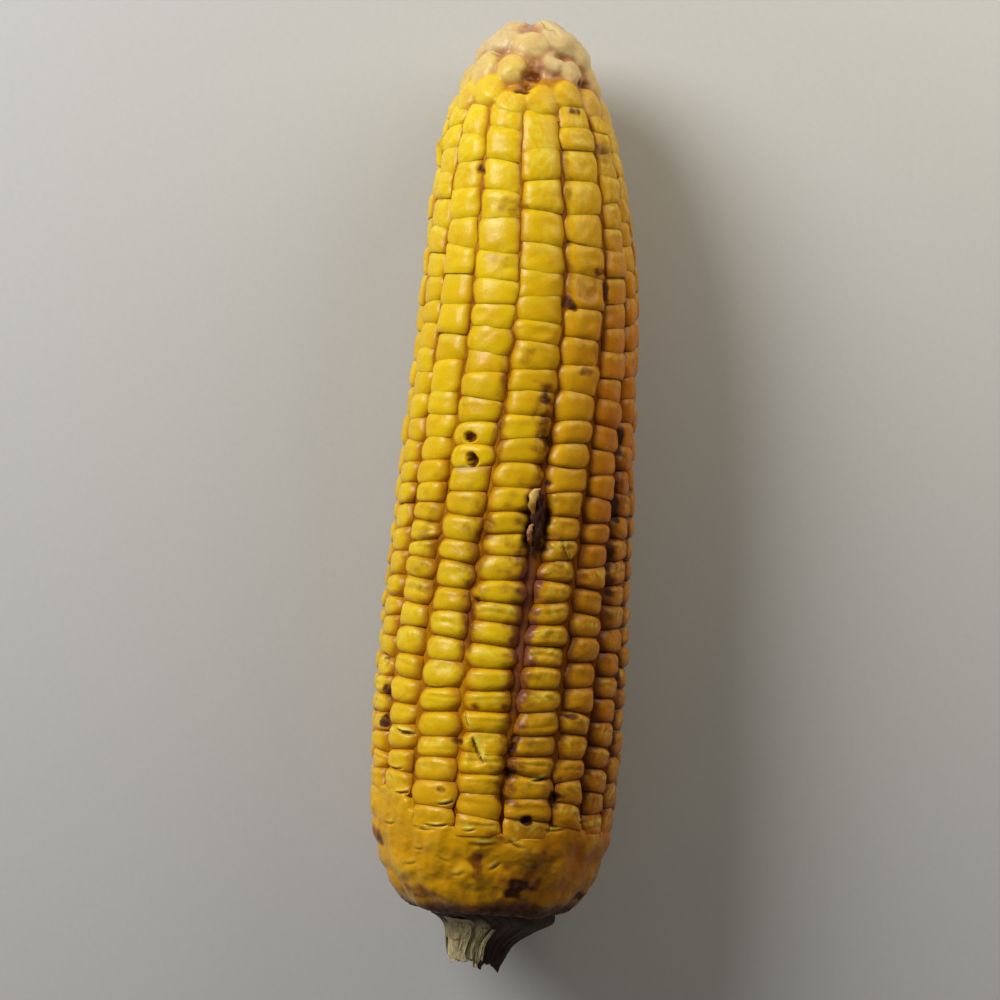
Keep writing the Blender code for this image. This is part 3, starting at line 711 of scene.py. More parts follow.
def sleeve(path, bearings, offset, sink, closed):
    """Points and faces of a closed skin, swept round the ear along a path of (station, radius) points.

    offset moves each point outwards, square to the path, and sink moves it towards the axis. A path that
    isn't closed starts and ends on the axis.
    """
    stations, radii = (np.array(values, float) for values in zip(*path))
    if closed:
        towards = np.roll(stations, -1) - np.roll(stations, 1), np.roll(radii, -1) - np.roll(radii, 1)
    else:
        towards = np.gradient(stations), np.gradient(radii)
    length = np.maximum(np.hypot(*towards), 1e-9)
    bearing, station = np.meshgrid(bearings, stations, indexing="ij")
    radius = np.broadcast_to(radii, bearing.shape)
    station = station - offset * towards[1] / length
    radius = np.maximum(radius + offset * towards[0] / length - sink, 0.0)
    ends = []
    if not closed:
        bearing, station, radius = bearing[:, 1:-1], station[:, 1:-1], radius[:, 1:-1]
        end_stations = stations[0], stations[-1] + offset[:, -1].mean()
        ends = [place(0.0, np.array([at]), np.array([0.0])) for at in end_stations]
    index = np.arange(bearing.size).reshape(bearing.shape)
    points = place(bearing, station, radius).reshape(-1, 3)
    return np.concatenate([points] + ends), tube_faces(index, closed)


print(len(tube_faces(np.arange(12).reshape(4, 3), False)), "faces close a small tube of four by three points")

# %% [markdown]
# ## The chaff under the kernels
# Kernels stand on the cob in a bed of papery chaff, which shows at the bottom of the open grooves and closes
# the ear at the stalk and under the tip. It lies deeper where the grooves are deep. It is the darkest thing
# on
# the ear: partly brown, because the juice runs down to it and burns there, and partly painted shade, because
# it takes the full crease shade of the bottom of the grooves.

# %% Chaff bed
def nearest_groove(bearing, station):
    """The distance in mm to the nearest groove, with that groove's depth and shade."""
    nearest, deep, shade = np.full(bearing.shape, 99.0), np.ones(bearing.shape), np.ones(bearing.shape)
    for groove in range(ROWS):
        off = (bearing - GROOVES[groove](station) + 180) % 360 - 180
        off = np.abs(np.radians(off) * crown_radius(station))
        deep = np.where(off < nearest, groove_depth(groove, station), deep)
        shade = np.where(off < nearest, groove_shade(groove, station), shade)
        nearest = np.minimum(nearest, off)
    return nearest, deep, shade


def chaff_bed():
    """The bed of chaff, a little below the crowns of the kernels."""
    stations = np.linspace(3.0, 164.0, 200)
    bearings = np.linspace(-180, 180, 200, endpoint=False)
    path = [(4.0, 0.0)] + list(zip(stations, crown_radius(stations))) + [(163.0, 0.0)]
    bearing, station = np.meshgrid(bearings, [at for at, _ in path], indexing="ij")
    nearest, deep, shade = nearest_groove(bearing, station)
    under_crust = np.clip((17 - station) / 8, 0, 1)
    under_tip = np.clip((station - 148) / 5, 0, 1)
    below = 1.3 * deep + 1.3 * np.clip(nearest / 2.6, 0, 1) + 1.2 * under_crust
    below += 1.6 * under_tip
    below += 0.06 * np.sin(station * 2.1 + bearing * 0.3) + 0.05 * np.sin(station * 3.7 - bearing * 0.5)
    points, faces = sleeve(path, bearings, -below, 0.0, False)
    bearing, station, shade = bearing[:, 1:-1], station[:, 1:-1], shade[:, 1:-1]
    # Painted shade as well as browning: darker where the groove is shaded and on the right.
    browned = 0.32 + 0.4 * shade + 0.4 * cooked_and_shaded(bearing, station)
    tints = {
        "brown": np.maximum(browned, reach(BROWN_MARKS, bearing, station, 0.9)),
        "char": reach(CHAR_MARKS, bearing, station, 0.6),
        "purple": reach(PURPLE_MARKS, bearing, station, 0.7),
        "cooked_and_shaded": cooked_and_shaded(bearing, station),
        "gold": golden(station),
    }
    tints = {name: np.concatenate([values.reshape(-1), [0.5, 0.5]]) for name, values in tints.items()}
    # Painted shade: the whole chaff takes the full crease shade through its depth number.
    return make_piece("chaff_bed", points, faces, {"depth": 1.1, "tone": 0.5, **tints}, "kernels")


chaff = chaff_bed()
print(len(chaff.data.polygons), "faces in the chaff")

# %% [markdown]
# ## Merged kernels at both ends
# At both ends the kernels have lost their edges. Each one is a lobe, and a soft maximum lets neighbouring
# lobes flow into one another, as melted skins do. The relief of the skin on top is the same for both ends,
# but the crust is drawn tight, with shallow valleys and a few sharp folds.

# %% Merged skins
FIRST_SEAMS = np.array([SEAMS[row][BUTT_KERNELS[row]] for row in range(ROWS)])
# The valley number is painted shade in the valleys between lobes; the wax number is a painted highlight on
# the crust's ridges.
TIP_LOOK = {"tight": False, "level": 0.95, "valley_shade": 1.0, "wax_and_highlight": 0.0}
CRUST_LOOK = {"tight": True, "level": 0.6, "valley_shade": 0.3, "wax_and_highlight": 0.22}


def raised_lobes(bearing, station, radius, lobes, sharpness):
    """Height in mm of lobes that flow together, and how cream they are at each point."""
    angle = np.radians(bearing)
    at = radius * np.sin(angle), radius * np.cos(angle)
    total, weight, cream = np.exp(sharpness * -0.2) * np.ones(bearing.shape), 0, 0
    for lobe in lobes:
        turn, far = math.radians(lobe[0]), float(crown_radius(lobe[1]))
        sideways = (at[0] - far * math.sin(turn)) ** 2 + (at[1] - far * math.cos(turn)) ** 2
        distance = sideways / lobe[2] ** 2 + (station - lobe[1]) ** 2 / lobe[3] ** 2
        part = np.exp(sharpness * lobe[4] * (1 - np.clip(distance, 0, 4) ** 1.3))
        total, weight, cream = total + part, weight + part, cream + part * lobe[5]
    return np.log(total) / sharpness, cream / np.maximum(weight, 1e-6)


def merged_relief(dice, at, lobes, sharpness, tight):
    """Height of the lobes and of the fine unevenness on them, in mm, and how cream they are."""
    height, cream = raised_lobes(*at, lobes, sharpness)
    rough = ripples(dice, *at, (5.5, 3.6, 2.4), 0.13) + ripples(dice, *at, (1.5, 1.0, 0.7), 0.03)
    if tight:  # it meets the first full kernels at their own height
        near_rows = np.clip((at[1] - FIRST_SEAMS.min() + 1.5) / 5, 0, 1)
        height = (0.42 + 0.6 * (height - 0.42)) + 0.1 * near_rows
        folds = np.exp(-((ripples(dice, *at, (3.4, 2.6), 0.5) / 0.16) ** 2))
        rough = 0.8 * rough + ripples(dice, *at, (11.0, 7.5), 0.21) + 0.07 * folds
    return height, rough, cream


def merged_skin(name, path, count, lobes, sharpness, shown, closed, crevices, look):
    """One closed skin over merged kernels; shown gives where it shows, elsewhere it dips into the ear."""
    bearings = np.linspace(-180, 180, count, endpoint=False)
    bearing, station = np.meshgrid(bearings, [at for at, _ in path], indexing="ij")
    radius = np.broadcast_to([far for _, far in path], bearing.shape)
    dice = np.random.default_rng(SEED + len(lobes))
    at = bearing, station, radius
    height, rough, cream = merged_relief(dice, at, lobes, sharpness, look["tight"])
    slit, slit_lip = slit_relief(bearing, station)
    cracks = np.zeros(bearing.shape)
    for *place_and_size, depth in crevices:
        cracks = np.maximum(cracks, depth * reach([(*place_and_size, 1.0)], bearing, station, 0.8, 0.4))
    charred = 0.2 * reach(CHAR_MARKS, bearing, station, 0.6)
    visible = shown(*at)
    offset = (height - look["level"] + rough - cracks - slit + slit_lip - charred) * visible
    points, faces = sleeve(path, bearings, offset, 2.6 * (1 - visible), closed)

    # Painted shade: darker in the valleys between the lobes.
    valley_shade = look["valley_shade"] * np.clip(1.0 - height / 0.85, 0, 1)
    turned = np.radians(bearing)
    uneven = 0.5 * np.sin(turned * 3 + 1) + 0.4 * np.sin(turned * 7) + 0.9 * np.sin(turned)
    # Painted shade: the underside that rolls under towards the stalk is darkened through the depth, brown and
    # char numbers.
    under = np.clip((2.5 + uneven - station) / 2.4, 0, 1)  # the dark underside that faces the stalk
    # Crevices and underside go brown, partly as painted shade.
    soaked_and_shaded = np.clip(cracks * 0.9 + 1.3 * under, 0, 1.3)
    burnt_and_shaded = np.clip(slit * 1.9 - 0.1, 0, 0.6) + 0.75 * under
    tints = {
        "depth": np.clip(valley_shade + cracks * 0.5 + under, 0, 1),
        # Painted light and shade: a fuller, lighter yellow on the raised bumps and a darker one in the dips.
        "tone": np.clip(0.6 + rough * 2, 0, 1),
        "brown": np.maximum(reach(BROWN_MARKS, bearing, station, 0.9), soaked_and_shaded),
        "char": np.maximum(reach(CHAR_MARKS, bearing, station, 0.7), burnt_and_shaded),
        "pale": cream,
        "cooked_and_shaded": cooked_and_shaded(bearing, station),
        "gold": golden(station),
        # Pale lips of the slits, and a painted highlight on the raised ridges of the crust.
        "wax_and_highlight": np.clip(slit_lip * 6, 0, 1) + look["wax_and_highlight"] * np.clip(rough * 3.4 - 0.25, 0, 1),
    }

    def kept(values):
        values = np.broadcast_to(values, bearing.shape)
        if closed:
            return values.reshape(-1)
        return np.concatenate([values[:, 1:-1].reshape(-1), [0.0, values[0, -2]]])

    tints = {name: kept(values) for name, values in tints.items()}
    return make_piece(name, points, faces, tints, "kernels")


print(f"the first full kernels start between {FIRST_SEAMS.min():.1f} and {FIRST_SEAMS.max():.1f} mm")

# %% [markdown]
# ## The tip
# The youngest kernels at the tip were never fertilised and never filled. They have stayed small and cream,
# and have melted together with crevices between them that are brown and darkened with painted shade. The
# lobes that show were placed one by one, and three rings of plain ones close the back.

# %% Tip
TIP_LOBES = [  # bearing, station, half across, half along, height, how cream
    (-20.6, 158.2, 3.4, 3.3, 1.4, 0.5), (-50.0, 164.2, 5.2, 3.6, 1.1, 1.0),
    (-4.8, 163.4, 4.4, 3.4, 1.1, 0.85), (46.0, 165.0, 5.6, 4.4, 1.45, 1.0),
    (70.0, 162.6, 4.2, 4.2, 1.4, 1.0), (21.5, 159.9, 2.8, 2.5, 0.8, 1.0), (39.9, 158.4, 3.0, 2.6, 1.0, 0.9),
    (78.0, 157.4, 3.6, 4.0, 1.1, 0.7), (-54.0, 158.4, 4.0, 4.2, 1.15, 0.7),
    (-38.0, 154.0, 3.9, 3.7, 1.15, 0.1), (8.0, 152.2, 4.0, 3.6, 1.15, 0.05),
    (31.0, 153.6, 3.6, 3.5, 1.3, 0.05), (-15.0, 151.4, 3.6, 3.2, 1.1, 0.1),
    (-62.0, 152.8, 3.7, 3.8, 1.15, 0.15), (56.0, 152.6, 3.7, 3.9, 1.15, 0.15),
    (-80.0, 156.4, 3.8, 4.2, 1.1, 0.5), (-86.0, 150.8, 3.8, 3.6, 1.1, 0.2),
    (82.0, 151.6, 3.8, 4.0, 1.1, 0.3), (100.0, 158.0, 3.8, 4.0, 1.0, 0.8),
    (-86.0, 162.4, 4.0, 3.6, 1.1, 1.0), (-70.0, 167.0, 4.0, 2.6, 1.2, 1.0),
    (60.0, 167.6, 4.4, 2.6, 1.3, 1.0), (120.0, 167.2, 3.6, 2.6, 1.0, 1.0),
    (240.0, 167.2, 3.6, 2.6, 1.0, 1.0),
]
TIP_CREVICES = [  # bearing, station, half across, half along, depth
    (0.5, 157.3, 2.0, 1.0, 1.3), (-4.0, 154.9, 1.4, 0.8, 1.0), (-9.0, 153.8, 1.8, 0.7, 0.8),
    (30.0, 161.0, 2.0, 0.6, 0.6), (54.7, 156.6, 1.8, 0.8, 0.7), (26.0, 166.4, 0.7, 2.0, 0.5),
    (-41.9, 161.2, 1.6, 0.7, 0.4), (32.9, 150.6, 1.4, 0.6, 0.6),
]
HIDDEN_TIP_RINGS = [  # station, how many lobes, from and to which bearing, how cream
    (152.2, 7, 110.0, 252.0, 0.2), (158.6, 6, 124.0, 250.0, 0.9), (163.6, 4, 140.0, 240.0, 0.9),
]
hidden_lobes = []
for at, count, start, end, cream in HIDDEN_TIP_RINGS:
    hidden_lobes += [(turn, at, 4.1, 4.0, 1.1, cream) for turn in np.linspace(start, end, count)]
tip_stations = np.concatenate([[145.6, 146.2], np.linspace(146.8, 167.0, 84), [167.6, 167.95, 168.15]])
tip_path = [(144.8, 0.0), (144.9, 6.0)] + list(zip(tip_stations, crown_radius(tip_stations)))
tip_path += [(168.3, 1.2), (168.4, 0.0)]


def tip_shown(bearing, station, radius):
    """1 beyond the last full kernels."""
    return np.clip((station - 147.2) / 1.2, 0, 1)


tip_skin = merged_skin(
    "tip_kernels", tip_path, 280, TIP_LOBES + hidden_lobes, 6.0, tip_shown, False, TIP_CREVICES, TIP_LOOK
)
print(len(tip_skin.data.polygons), "faces in the tip")

# %% [markdown]
# ## The crust at the stalk
# The lowest kernels were cut short with the husk and swollen, and cooking has fused their skins into one
# golden crust of soft bulges that rolls under towards the stalk. There is one lobe for each short kernel of a
# row, a little off its place and size.

# %% Crust at the stalk end
butt_dice = np.random.default_rng(SEED + 3)
BUTT_LOBES = []
for row in range(ROWS):
    seams = SEAMS[row][: BUTT_KERNELS[row] + 1]
    for near, far in zip(seams, seams[1:]):
        middle, half = (near + far) / 2, (far - near) / 2
        left, right = groove_bearing(row, middle), groove_bearing(row + 1, middle)
        width = np.radians(right - left) * crown_radius(middle) / 2
        BUTT_LOBES.append((
            (left + right) / 2 + butt_dice.uniform(-4, 4), middle + butt_dice.uniform(-0.8, 0.8),
            width * butt_dice.uniform(0.85, 1.2), half * butt_dice.uniform(0.9, 1.5),
            butt_dice.uniform(0.5, 1.0), 0.0,
        ))


def butt_shown(bearing, station, radius):
    """1 where the crust shows: up to the first full kernel of each row, and not inside the ear."""
    first_groove = groove_bearing(0, 18.0)
    edge = np.zeros(bearing.shape)
    for shift in (-3.0, 0.0, 3.0):
        turned = (bearing + shift - first_groove) % 360
        row = sum((turned >= groove_bearing(n, 18.0) - first_groove) for n in range(1, ROWS))
        edge = edge + FIRST_SEAMS[row] / 3
    return np.clip((edge + 1.9 - station) / 1.4, 0, 1) * np.clip((radius - 11.6) / 1.5, 0, 1)


butt_stations = np.linspace(0.15, 23.6, 88)
butt_path = [(-0.2, 11.4), (-0.9, 12.2), (-1.3, 13.2), (-1.2, 14.2), (-0.85, 15.0), (-0.4, 15.6)]
butt_path += list(zip(butt_stations, crown_radius(butt_stations)))
butt_path += [(24.0, 17.0), (23.0, 11.4), (10.0, 11.2)]  # back under the first kernels
butt_skin = merged_skin("butt_crust", butt_path, 330, BUTT_LOBES, 5.0, butt_shown, True, [], CRUST_LOOK)
print(len(butt_skin.data.polygons), "faces in the crust at the stalk end")

# %% [markdown]
# ## The burst kernel
# One kernel burst on the fire. Its starch boiled out as a small glossy grey-cream blister, and what ran down
# the groove burnt. Soft strands of changing thickness, laid into the wound, stand for it.

# %% Burst kernel
STRANDS = [  # (bearing, station, radius, lift) along each strand, then pale, brown, char, purple
    ([(11.4, 79.6, 0.5, -0.35), (9.8, 79.3, 0.72, -0.02), (8.6, 78.0, 0.85, 0.16), (8.2, 76.6, 0.72, 0.1),
      (8.9, 75.2, 0.5, -0.25), (9.8, 74.2, 0.4, -0.7)], 0.5, 0.2, 0.0, 0.1),
    ([(9.2, 73.0, 0.4, -0.5), (8.0, 71.8, 0.5, -0.05), (8.1, 70.4, 0.48, -0.02), (9.0, 69.0, 0.4, -0.4)],
     0.22, 0.6, 0.0, 0.4),
    ([(12.0, 79.0, 0.5, -1.1), (11.2, 77.4, 0.8, -0.75), (11.6, 75.8, 0.75, -0.85), (10.6, 74.2, 0.95, -0.8),
      (11.3, 72.4, 0.7, -0.95), (10.4, 70.8, 0.9, -0.85), (10.9, 69.2, 0.6, -1.0), (9.9, 67.2, 0.6, -1.2)],
     0.0, 1.3, 1.4, 0.0),
    ([(13.9, 77.2, 0.4, -1.0), (13.0, 75.4, 0.7, -0.95), (13.4, 73.6, 0.6, -1.1), (12.4, 71.6, 0.75, -1.0),
      (12.2, 69.2, 0.5, -1.2)], 0.0, 1.3, 1.1, 0.3),
]
STRAND_RINGS, STRAND_SIDES = 64, 30


def surface_frame(bearing, station):
    """The point on the crowns there, with the directions across and out of the surface."""
    at = lambda b, s: place(np.array(b), np.array(s), crown_radius(np.array(s)))
    along = at(bearing, station + 0.8) - at(bearing, station - 0.8)
    across = at(bearing + 4.0, station) - at(bearing - 4.0, station)
    along /= np.linalg.norm(along)
    across -= along * across.dot(along)
    across /= np.linalg.norm(across)
    return at(bearing, station), across, np.cross(across, along)


def strand_ring(curves, last, share, turn, phase, lumps):
    """Points of one ring round a strand, at a share of its length."""
    at_bearing, at_station, wide, lift = (float(curve(share * last)) for curve in curves)
    at, side, out = surface_frame(at_bearing, at_station)
    wide = wide * max(1 - abs(2 * share - 1) ** 6, 0.02) ** 0.5
    wave = lumps * np.sin(2 * turn + 19 * share + phase[0]) + 0.12 * np.sin(turn - 17 * share + phase[1])
    reached = wide * (1 + wave + 0.06 * math.sin(26 * share + phase[2]))
    across, up = reached * np.cos(turn), 0.8 * reached * np.sin(turn) + lift
    return at + (np.outer(across, side) + np.outer(up, out)) * MM


def strand_marks(share, turn, pale, brown, char, purple):
    """The numbers of one ring: browner on its inner side and towards the end of the strand, and darker
    underneath, which is painted shade.
    """
    inner_and_underside = np.clip(0.55 * np.cos(turn) - 0.35 * np.sin(turn), 0, 1) + np.clip(-np.sin(turn), 0, 1)
    outer = np.clip(np.cos(turn) - 0.35, 0, 1) * (purple < 0.5)
    return {
        "pale": pale * np.clip(1.5 - 1.8 * share - 0.9 * inner_and_underside, 0, 1),
        "brown": np.clip(brown + 1.1 * inner_and_underside + 0.6 * share, 0, 1.3),
        "char": np.clip(char + 0.7 * outer, 0, 1.5),
        "purple": np.full(len(turn), purple),
        "depth": np.clip(0.4 + inner_and_underside, 0, 1),
    }


def burst_kernel():
    """All strands as one piece, each strand a closed tube."""
    dice = np.random.default_rng(SEED + 6)
    points, faces, marks = [], [], []
    turn = np.linspace(0, 2 * np.pi, STRAND_SIDES, endpoint=False)
    for path, pale, brown, char, purple in STRANDS:
        curves = [smooth_curve([(n, knot[k]) for n, knot in enumerate(path)]) for k in range(4)]
        index = len(points) * STRAND_SIDES + np.arange(STRAND_RINGS * STRAND_SIDES).reshape(STRAND_RINGS, -1)
        phase, lumps = dice.uniform(0, 6.28, 3), 0.12 + 0.1 * (char > 0)
        for share in 0.5 - 0.5 * np.cos(np.linspace(0, np.pi, STRAND_RINGS)):
            points.append(strand_ring(curves, len(path) - 1, share, turn, phase, lumps))
            marks.append(strand_marks(share, turn, pale, brown, char, purple))
        after = np.roll(index, -1, axis=1)
        faces += np.stack([index[:-1], after[:-1], after[1:], index[1:]], axis=-1).reshape(-1, 4).tolist()
        faces += [index[0, ::-1].tolist(), index[-1].tolist()]
    joined = {name: np.concatenate([ring[name] for ring in marks]) for name in marks[0]}
    return make_piece("burst_kernel", np.concatenate(points), faces, joined, "kernels")


burst = burst_kernel()
print(len(burst.data.polygons), "faces in the burst kernel")

# %% [markdown]
# ## The broken stalk
# The cob ends in a cone of dark wood where the husk was torn off, and the stalk under it was snapped rather
# than cut. It is one closed tube from the break up to the middle of the tip, with ridges of fibre where it
# shows and a slanted, ragged end.

# %% Stalk
COB_PROFILE = [  # station, radius, shift to +X
    (-10.6, 4.2, -0.7), (-9.6, 4.8, -0.7), (-6.7, 6.2, -0.1), (-4.6, 8.0, 1.1), (-2.9, 10.1, 2.0),
    (-1.5, 11.8, 1.1), (-0.4, 12.5, 0.3), (4.0, 12.3, 0.0), (60.0, 12.0, 0.0), (120.0, 9.8, 0.0),
    (150.0, 6.8, 0.0),
]
FIBRE_WAVES = ((7, 0.28), (13, 0.16), (29, 0.13), (61, 0.08), (97, 0.05))  # how many round the cob, height
cob_radius = smooth_curve([(station, radius) for station, radius, _ in COB_PROFILE])
cob_shift = smooth_curve([(station, shift) for station, _, shift in COB_PROFILE])


def fibre_ridges(dice, angle, station):
    """Height of the fibres that run along the stalk, in mm."""
    ridges = 0
    for count, height in FIBRE_WAVES:
        phase, drift = dice.uniform(0, 6.28), dice.uniform(-0.05, 0.05)
        ridges = ridges + height * np.sin(count * angle + phase + drift * count * station)
    return ridges


def stalk():
    """The woody cob with its base cone and the broken stem."""
    dice = np.random.default_rng(SEED + 2)
    stations = np.concatenate([np.linspace(-10.6, 1.0, 90), np.linspace(2.5, 150.0, 24)])
    bearing, station = np.meshgrid(np.linspace(-180, 180, 240, endpoint=False), stations, indexing="ij")
    angle = np.radians(bearing)
    outside = np.clip((0.5 - station) / 3, 0, 1)
    ridges = fibre_ridges(dice, angle, station)
    slant = np.clip((-station - 7.4) / 3.2, 0, 1)
    torn = 0.9 * np.sin(angle) + 0.5 * np.sin(5 * angle + 1) + 0.35 * np.sin(11 * angle)
    torn = torn + 0.3 * np.sign(np.sin(17 * angle))
    radius = cob_radius(station) + outside * ridges * (1 - 0.3 * slant)
    points = place(bearing, station - outside * slant * torn, radius, cob_shift(station)).reshape(-1, 3)
    ends = [place(0.0, np.array([at]), np.array([0.0]), cob_shift(at)) for at in (-8.9, 151.0)]
    faces = tube_faces(np.arange(bearing.size).reshape(bearing.shape), False)
    left = np.clip((-4 - bearing) / 10, 0, 1) * np.clip((bearing + 176) / 30, 0, 1)
    straw = left * np.clip((-station - 2.2 - 0.8 * np.sin(9 * angle)) / 1.6, 0, 1)
    tints = {
        "pale": np.concatenate([straw.reshape(-1), [0.5, 0.0]]),
        # Painted shade: darker in the valleys between the fibre ridges.
        "depth": np.concatenate([np.clip(-ridges * 1.6, 0, 1).reshape(-1), [0.8, 0]]),
        "tone": 0.4,
    }
    return make_piece("stalk", np.concatenate([points] + ends), faces, tints, "cob")


stalk_pieces = [stalk()]
print(len(stalk_pieces[0].data.polygons), "faces in the stalk")

# %% [markdown]
# The outer layers of the stalk have dried to straw and stand off in short scraps. Each scrap is a thin curled
# plate with a front, a back and a rim, thinnest at its torn end.

# %% Scraps of the stalk
SCRAPS = [  # bearings from and to, stations from and to, how far it stands off, how pale
    (-92.0, -22.0, -2.0, -6.6, 0.55, 0.8), (-78.0, -8.0, -5.6, -10.4, 0.45, 1.0),
    (-14.0, 6.0, -3.6, -10.9, 0.8, 0.9), (-138.0, -84.0, -2.6, -8.8, 0.5, 0.7),
    (-44.0, -26.0, -3.0, -8.8, 0.95, 0.9), (-170.0, -120.0, -3.2, -9.8, 0.4, 0.6),
]


def scrap_sides(dice, u, v, start, end, near, far, off):
    """The points of a scrap's front and back; u runs across it and v along it, both from 0 to 1."""
    jag = ripples(dice, u * 40, u * 5, 3 + 0 * u, (5.0, 2.6), 0.4) + dice.uniform(-0.9, 0.9) * (u - 0.5) * 2
    bearing = start + (end - start) * (0.5 + (u - 0.5) * (1 - 0.12 * v)) + 4 * np.sin(3 * v + start)
    station = near + (far - near) * v + jag * v**2
    curl = off * (0.35 + 0.65 * v) + 0.35 * np.abs(2 * u - 1) ** 4 + 0.12 * np.sin(9 * u + 5 * v + start)
    crease = fibre_ridges(dice, u * 1.3, station) * 0.4
    thick = 0.5 * np.clip(4 * np.minimum(u, 1 - u), 0.25, 1) * np.clip(5 * (1 - v), 0.3, 1)
    front = cob_radius(station) + curl + crease
    shift = cob_shift(station)
    return [place(bearing, station, radius, shift).reshape(-1, 3) for radius in (front, front - thick)]


def scraps():
    """Thin torn layers that stand off the stalk, each one a closed plate."""
    dice = np.random.default_rng(SEED + 4)
    u, v = np.meshgrid(np.linspace(0, 1, 41), np.linspace(0, 1, 33), indexing="ij")
    shadow = np.tile(np.clip(0.6 - 4 * np.minimum(u, 1 - u) - 2 * v, 0, 1).reshape(-1), 2)
    points, faces, pale, tone, depth = [], [], [], [], []
    for *form, paleness in SCRAPS:
        index = sum(len(part) for part in points) + np.arange(u.size).reshape(u.shape)
        points += scrap_sides(dice, u, v, *form)
        corners = index[:-1, :-1], index[:-1, 1:], index[1:, 1:], index[1:, :-1]
        top = np.stack(corners, axis=-1).reshape(-1, 4)
        rim = np.concatenate([index[:, 0], index[-1, 1:], index[-2::-1, -1], index[0, -2:0:-1]])
        walls = np.stack([rim, np.roll(rim, -1), np.roll(rim, -1) + u.size, rim + u.size], axis=-1)
        faces += top.tolist() + (top[:, ::-1] + u.size).tolist() + walls.tolist()
        pale += [np.full(2 * u.size, paleness)]
        tone += [np.full(2 * u.size, dice.uniform(0, 1))]
        depth += [shadow]
    tints = {"pale": np.concatenate(pale), "tone": np.concatenate(tone), "depth": np.concatenate(depth)}
    return make_piece("stalk_scraps", np.concatenate(points), faces, tints, "cob")


stalk_pieces.append(scraps())
print(len(SCRAPS), "scraps with", len(stalk_pieces[1].data.polygons), "faces")

# %% [markdown]
# ## Materials
# The materials are built in code from a few kinds of node. A helper that adds one node and joins what it is
# given keeps each step to a line. An input is given either as a value or as the output of another node.

# %% Node helpers
COLOR, FLOAT, VECTOR = "NodeSocketColor", "NodeSocketFloat", "NodeSocketVector"


def node(tree, kind, inputs=None, **settings):
    """Adds a node with its settings, and joins or sets its inputs."""
    made = tree.nodes.new(kind)
    for key, value in settings.items():
        setattr(made, key, value)
    for key, value in (inputs or {}).items():
        if isinstance(value, bpy.types.NodeSocket):
            tree.links.new(value, made.inputs[key])
        else:
            made.inputs[key].default_value = value
    return made


def tint(tree, name):
    """The number that every point of a piece carries under this name."""
    return node(tree, "ShaderNodeAttribute", attribute_name=name).outputs["Fac"]


def blend(tree, share, low, high):
    """Mixes two colours; colours without a node are given as three numbers."""
    low, high = (value if isinstance(value, bpy.types.NodeSocket) else (*value, 1) for value in (low, high))
    return node(tree, "ShaderNodeMix", {0: share, 6: low, 7: high}, data_type="RGBA").outputs[2]


def remap(tree, value, start, end, low=0.0, high=1.0):
    """Softly stretches the values from start to end onto low to high."""
    inputs = {"Value": value, "From Min": start, "From Max": end, "To Min": low, "To Max": high}
    return node(tree, "ShaderNodeMapRange", inputs, interpolation_type="SMOOTHSTEP").outputs["Result"]


def calculate(tree, operation, first, second):
    return node(tree, "ShaderNodeMath", {0: first, 1: second}, operation=operation).outputs[0]


def times(tree, first, second):
    return calculate(tree, "MULTIPLY", first, second)


def noise(tree, scale, detail, where=None, **more):
    """Cloudy values in the space of the object, scale is in lumps to the metre."""
    where = where or node(tree, "ShaderNodeTexCoord").outputs["Object"]
    inputs = {"Vector": where, "Scale": scale, "Detail": detail, **more}
    return node(tree, "ShaderNodeTexNoise", inputs).outputs["Fac"]


def group(name, inputs, outputs):
    """A new node group: its tree, what it is given and what it puts out."""
    tree = bpy.data.node_groups.new(name, "ShaderNodeTree")
    for label, kind, value in inputs:
        socket = tree.interface.new_socket(label, in_out="INPUT", socket_type=kind)
        socket.default_value = value
    for label, kind in outputs:
        tree.interface.new_socket(label, in_out="OUTPUT", socket_type=kind)
    return tree, tree.nodes.new("NodeGroupInput").outputs, tree.nodes.new("NodeGroupOutput").inputs


print("node helpers ready")

# %% [markdown]
# ## The skin of a kernel
# The skin of a cooked kernel is clear yellow on its crown and turns to deep orange in the crease, which is
# painted shade. Towards the stalk the colour warms to gold, and on the right, away from the key light, it is
# deeper still, which is painted shade as well as cooking. Pale streaks are wax and steam-blistered skin that
# stands off the starch, and partly a painted highlight.
# Unfilled kernels are cream. All food on the ear uses this group, so it stays one fruit.

# %% Kernel skin
CLEAR_YELLOW, FULL_YELLOW, GOLD = (0.67, 0.445, 0.001), (0.74, 0.525, 0.003), (0.70, 0.365, 0.002)
# The cooked colours are painted shade on the right, away from the key light, as well as cooking.
COOKED_SHADED_YELLOW, COOKED_SHADED_GOLD, WARM_CLOUD = (0.42, 0.122, 0.001), (0.50, 0.165, 0.001), (0.62, 0.30, 0.004)
# The crease colours are painted shade in the creases and holes.
CREASE_SHADE, COOKED_CREASE_SHADE, WAX_AND_HIGHLIGHT = (0.52, 0.225, 0.003), (0.15, 0.034, 0.002), (0.72, 0.63, 0.085)
CREAM, CREAM_CREASE_SHADE, CREAM_CLOUD = (0.60, 0.46, 0.21), (0.38, 0.18, 0.08), (0.55, 0.35, 0.17)

skin_tree, given, result = group(
    "Kernel skin",
    [("Depth", FLOAT, 0.0), ("Tone", FLOAT, 0.5), ("Cooked_and_shaded", FLOAT, 0.0), ("Wax_and_highlight", FLOAT, 0.0),
     ("Cream", FLOAT, 0.0), ("Gold", FLOAT, 0.0)],
    [("Color", COLOR), ("Roughness", FLOAT)],
)
clouds = noise(skin_tree, 260.0, 3.0, Roughness=0.6)
spots = noise(skin_tree, 620.0, 2.0, Distortion=0.5)
fine = noise(skin_tree, 1500.0, 4.0, Roughness=0.65)

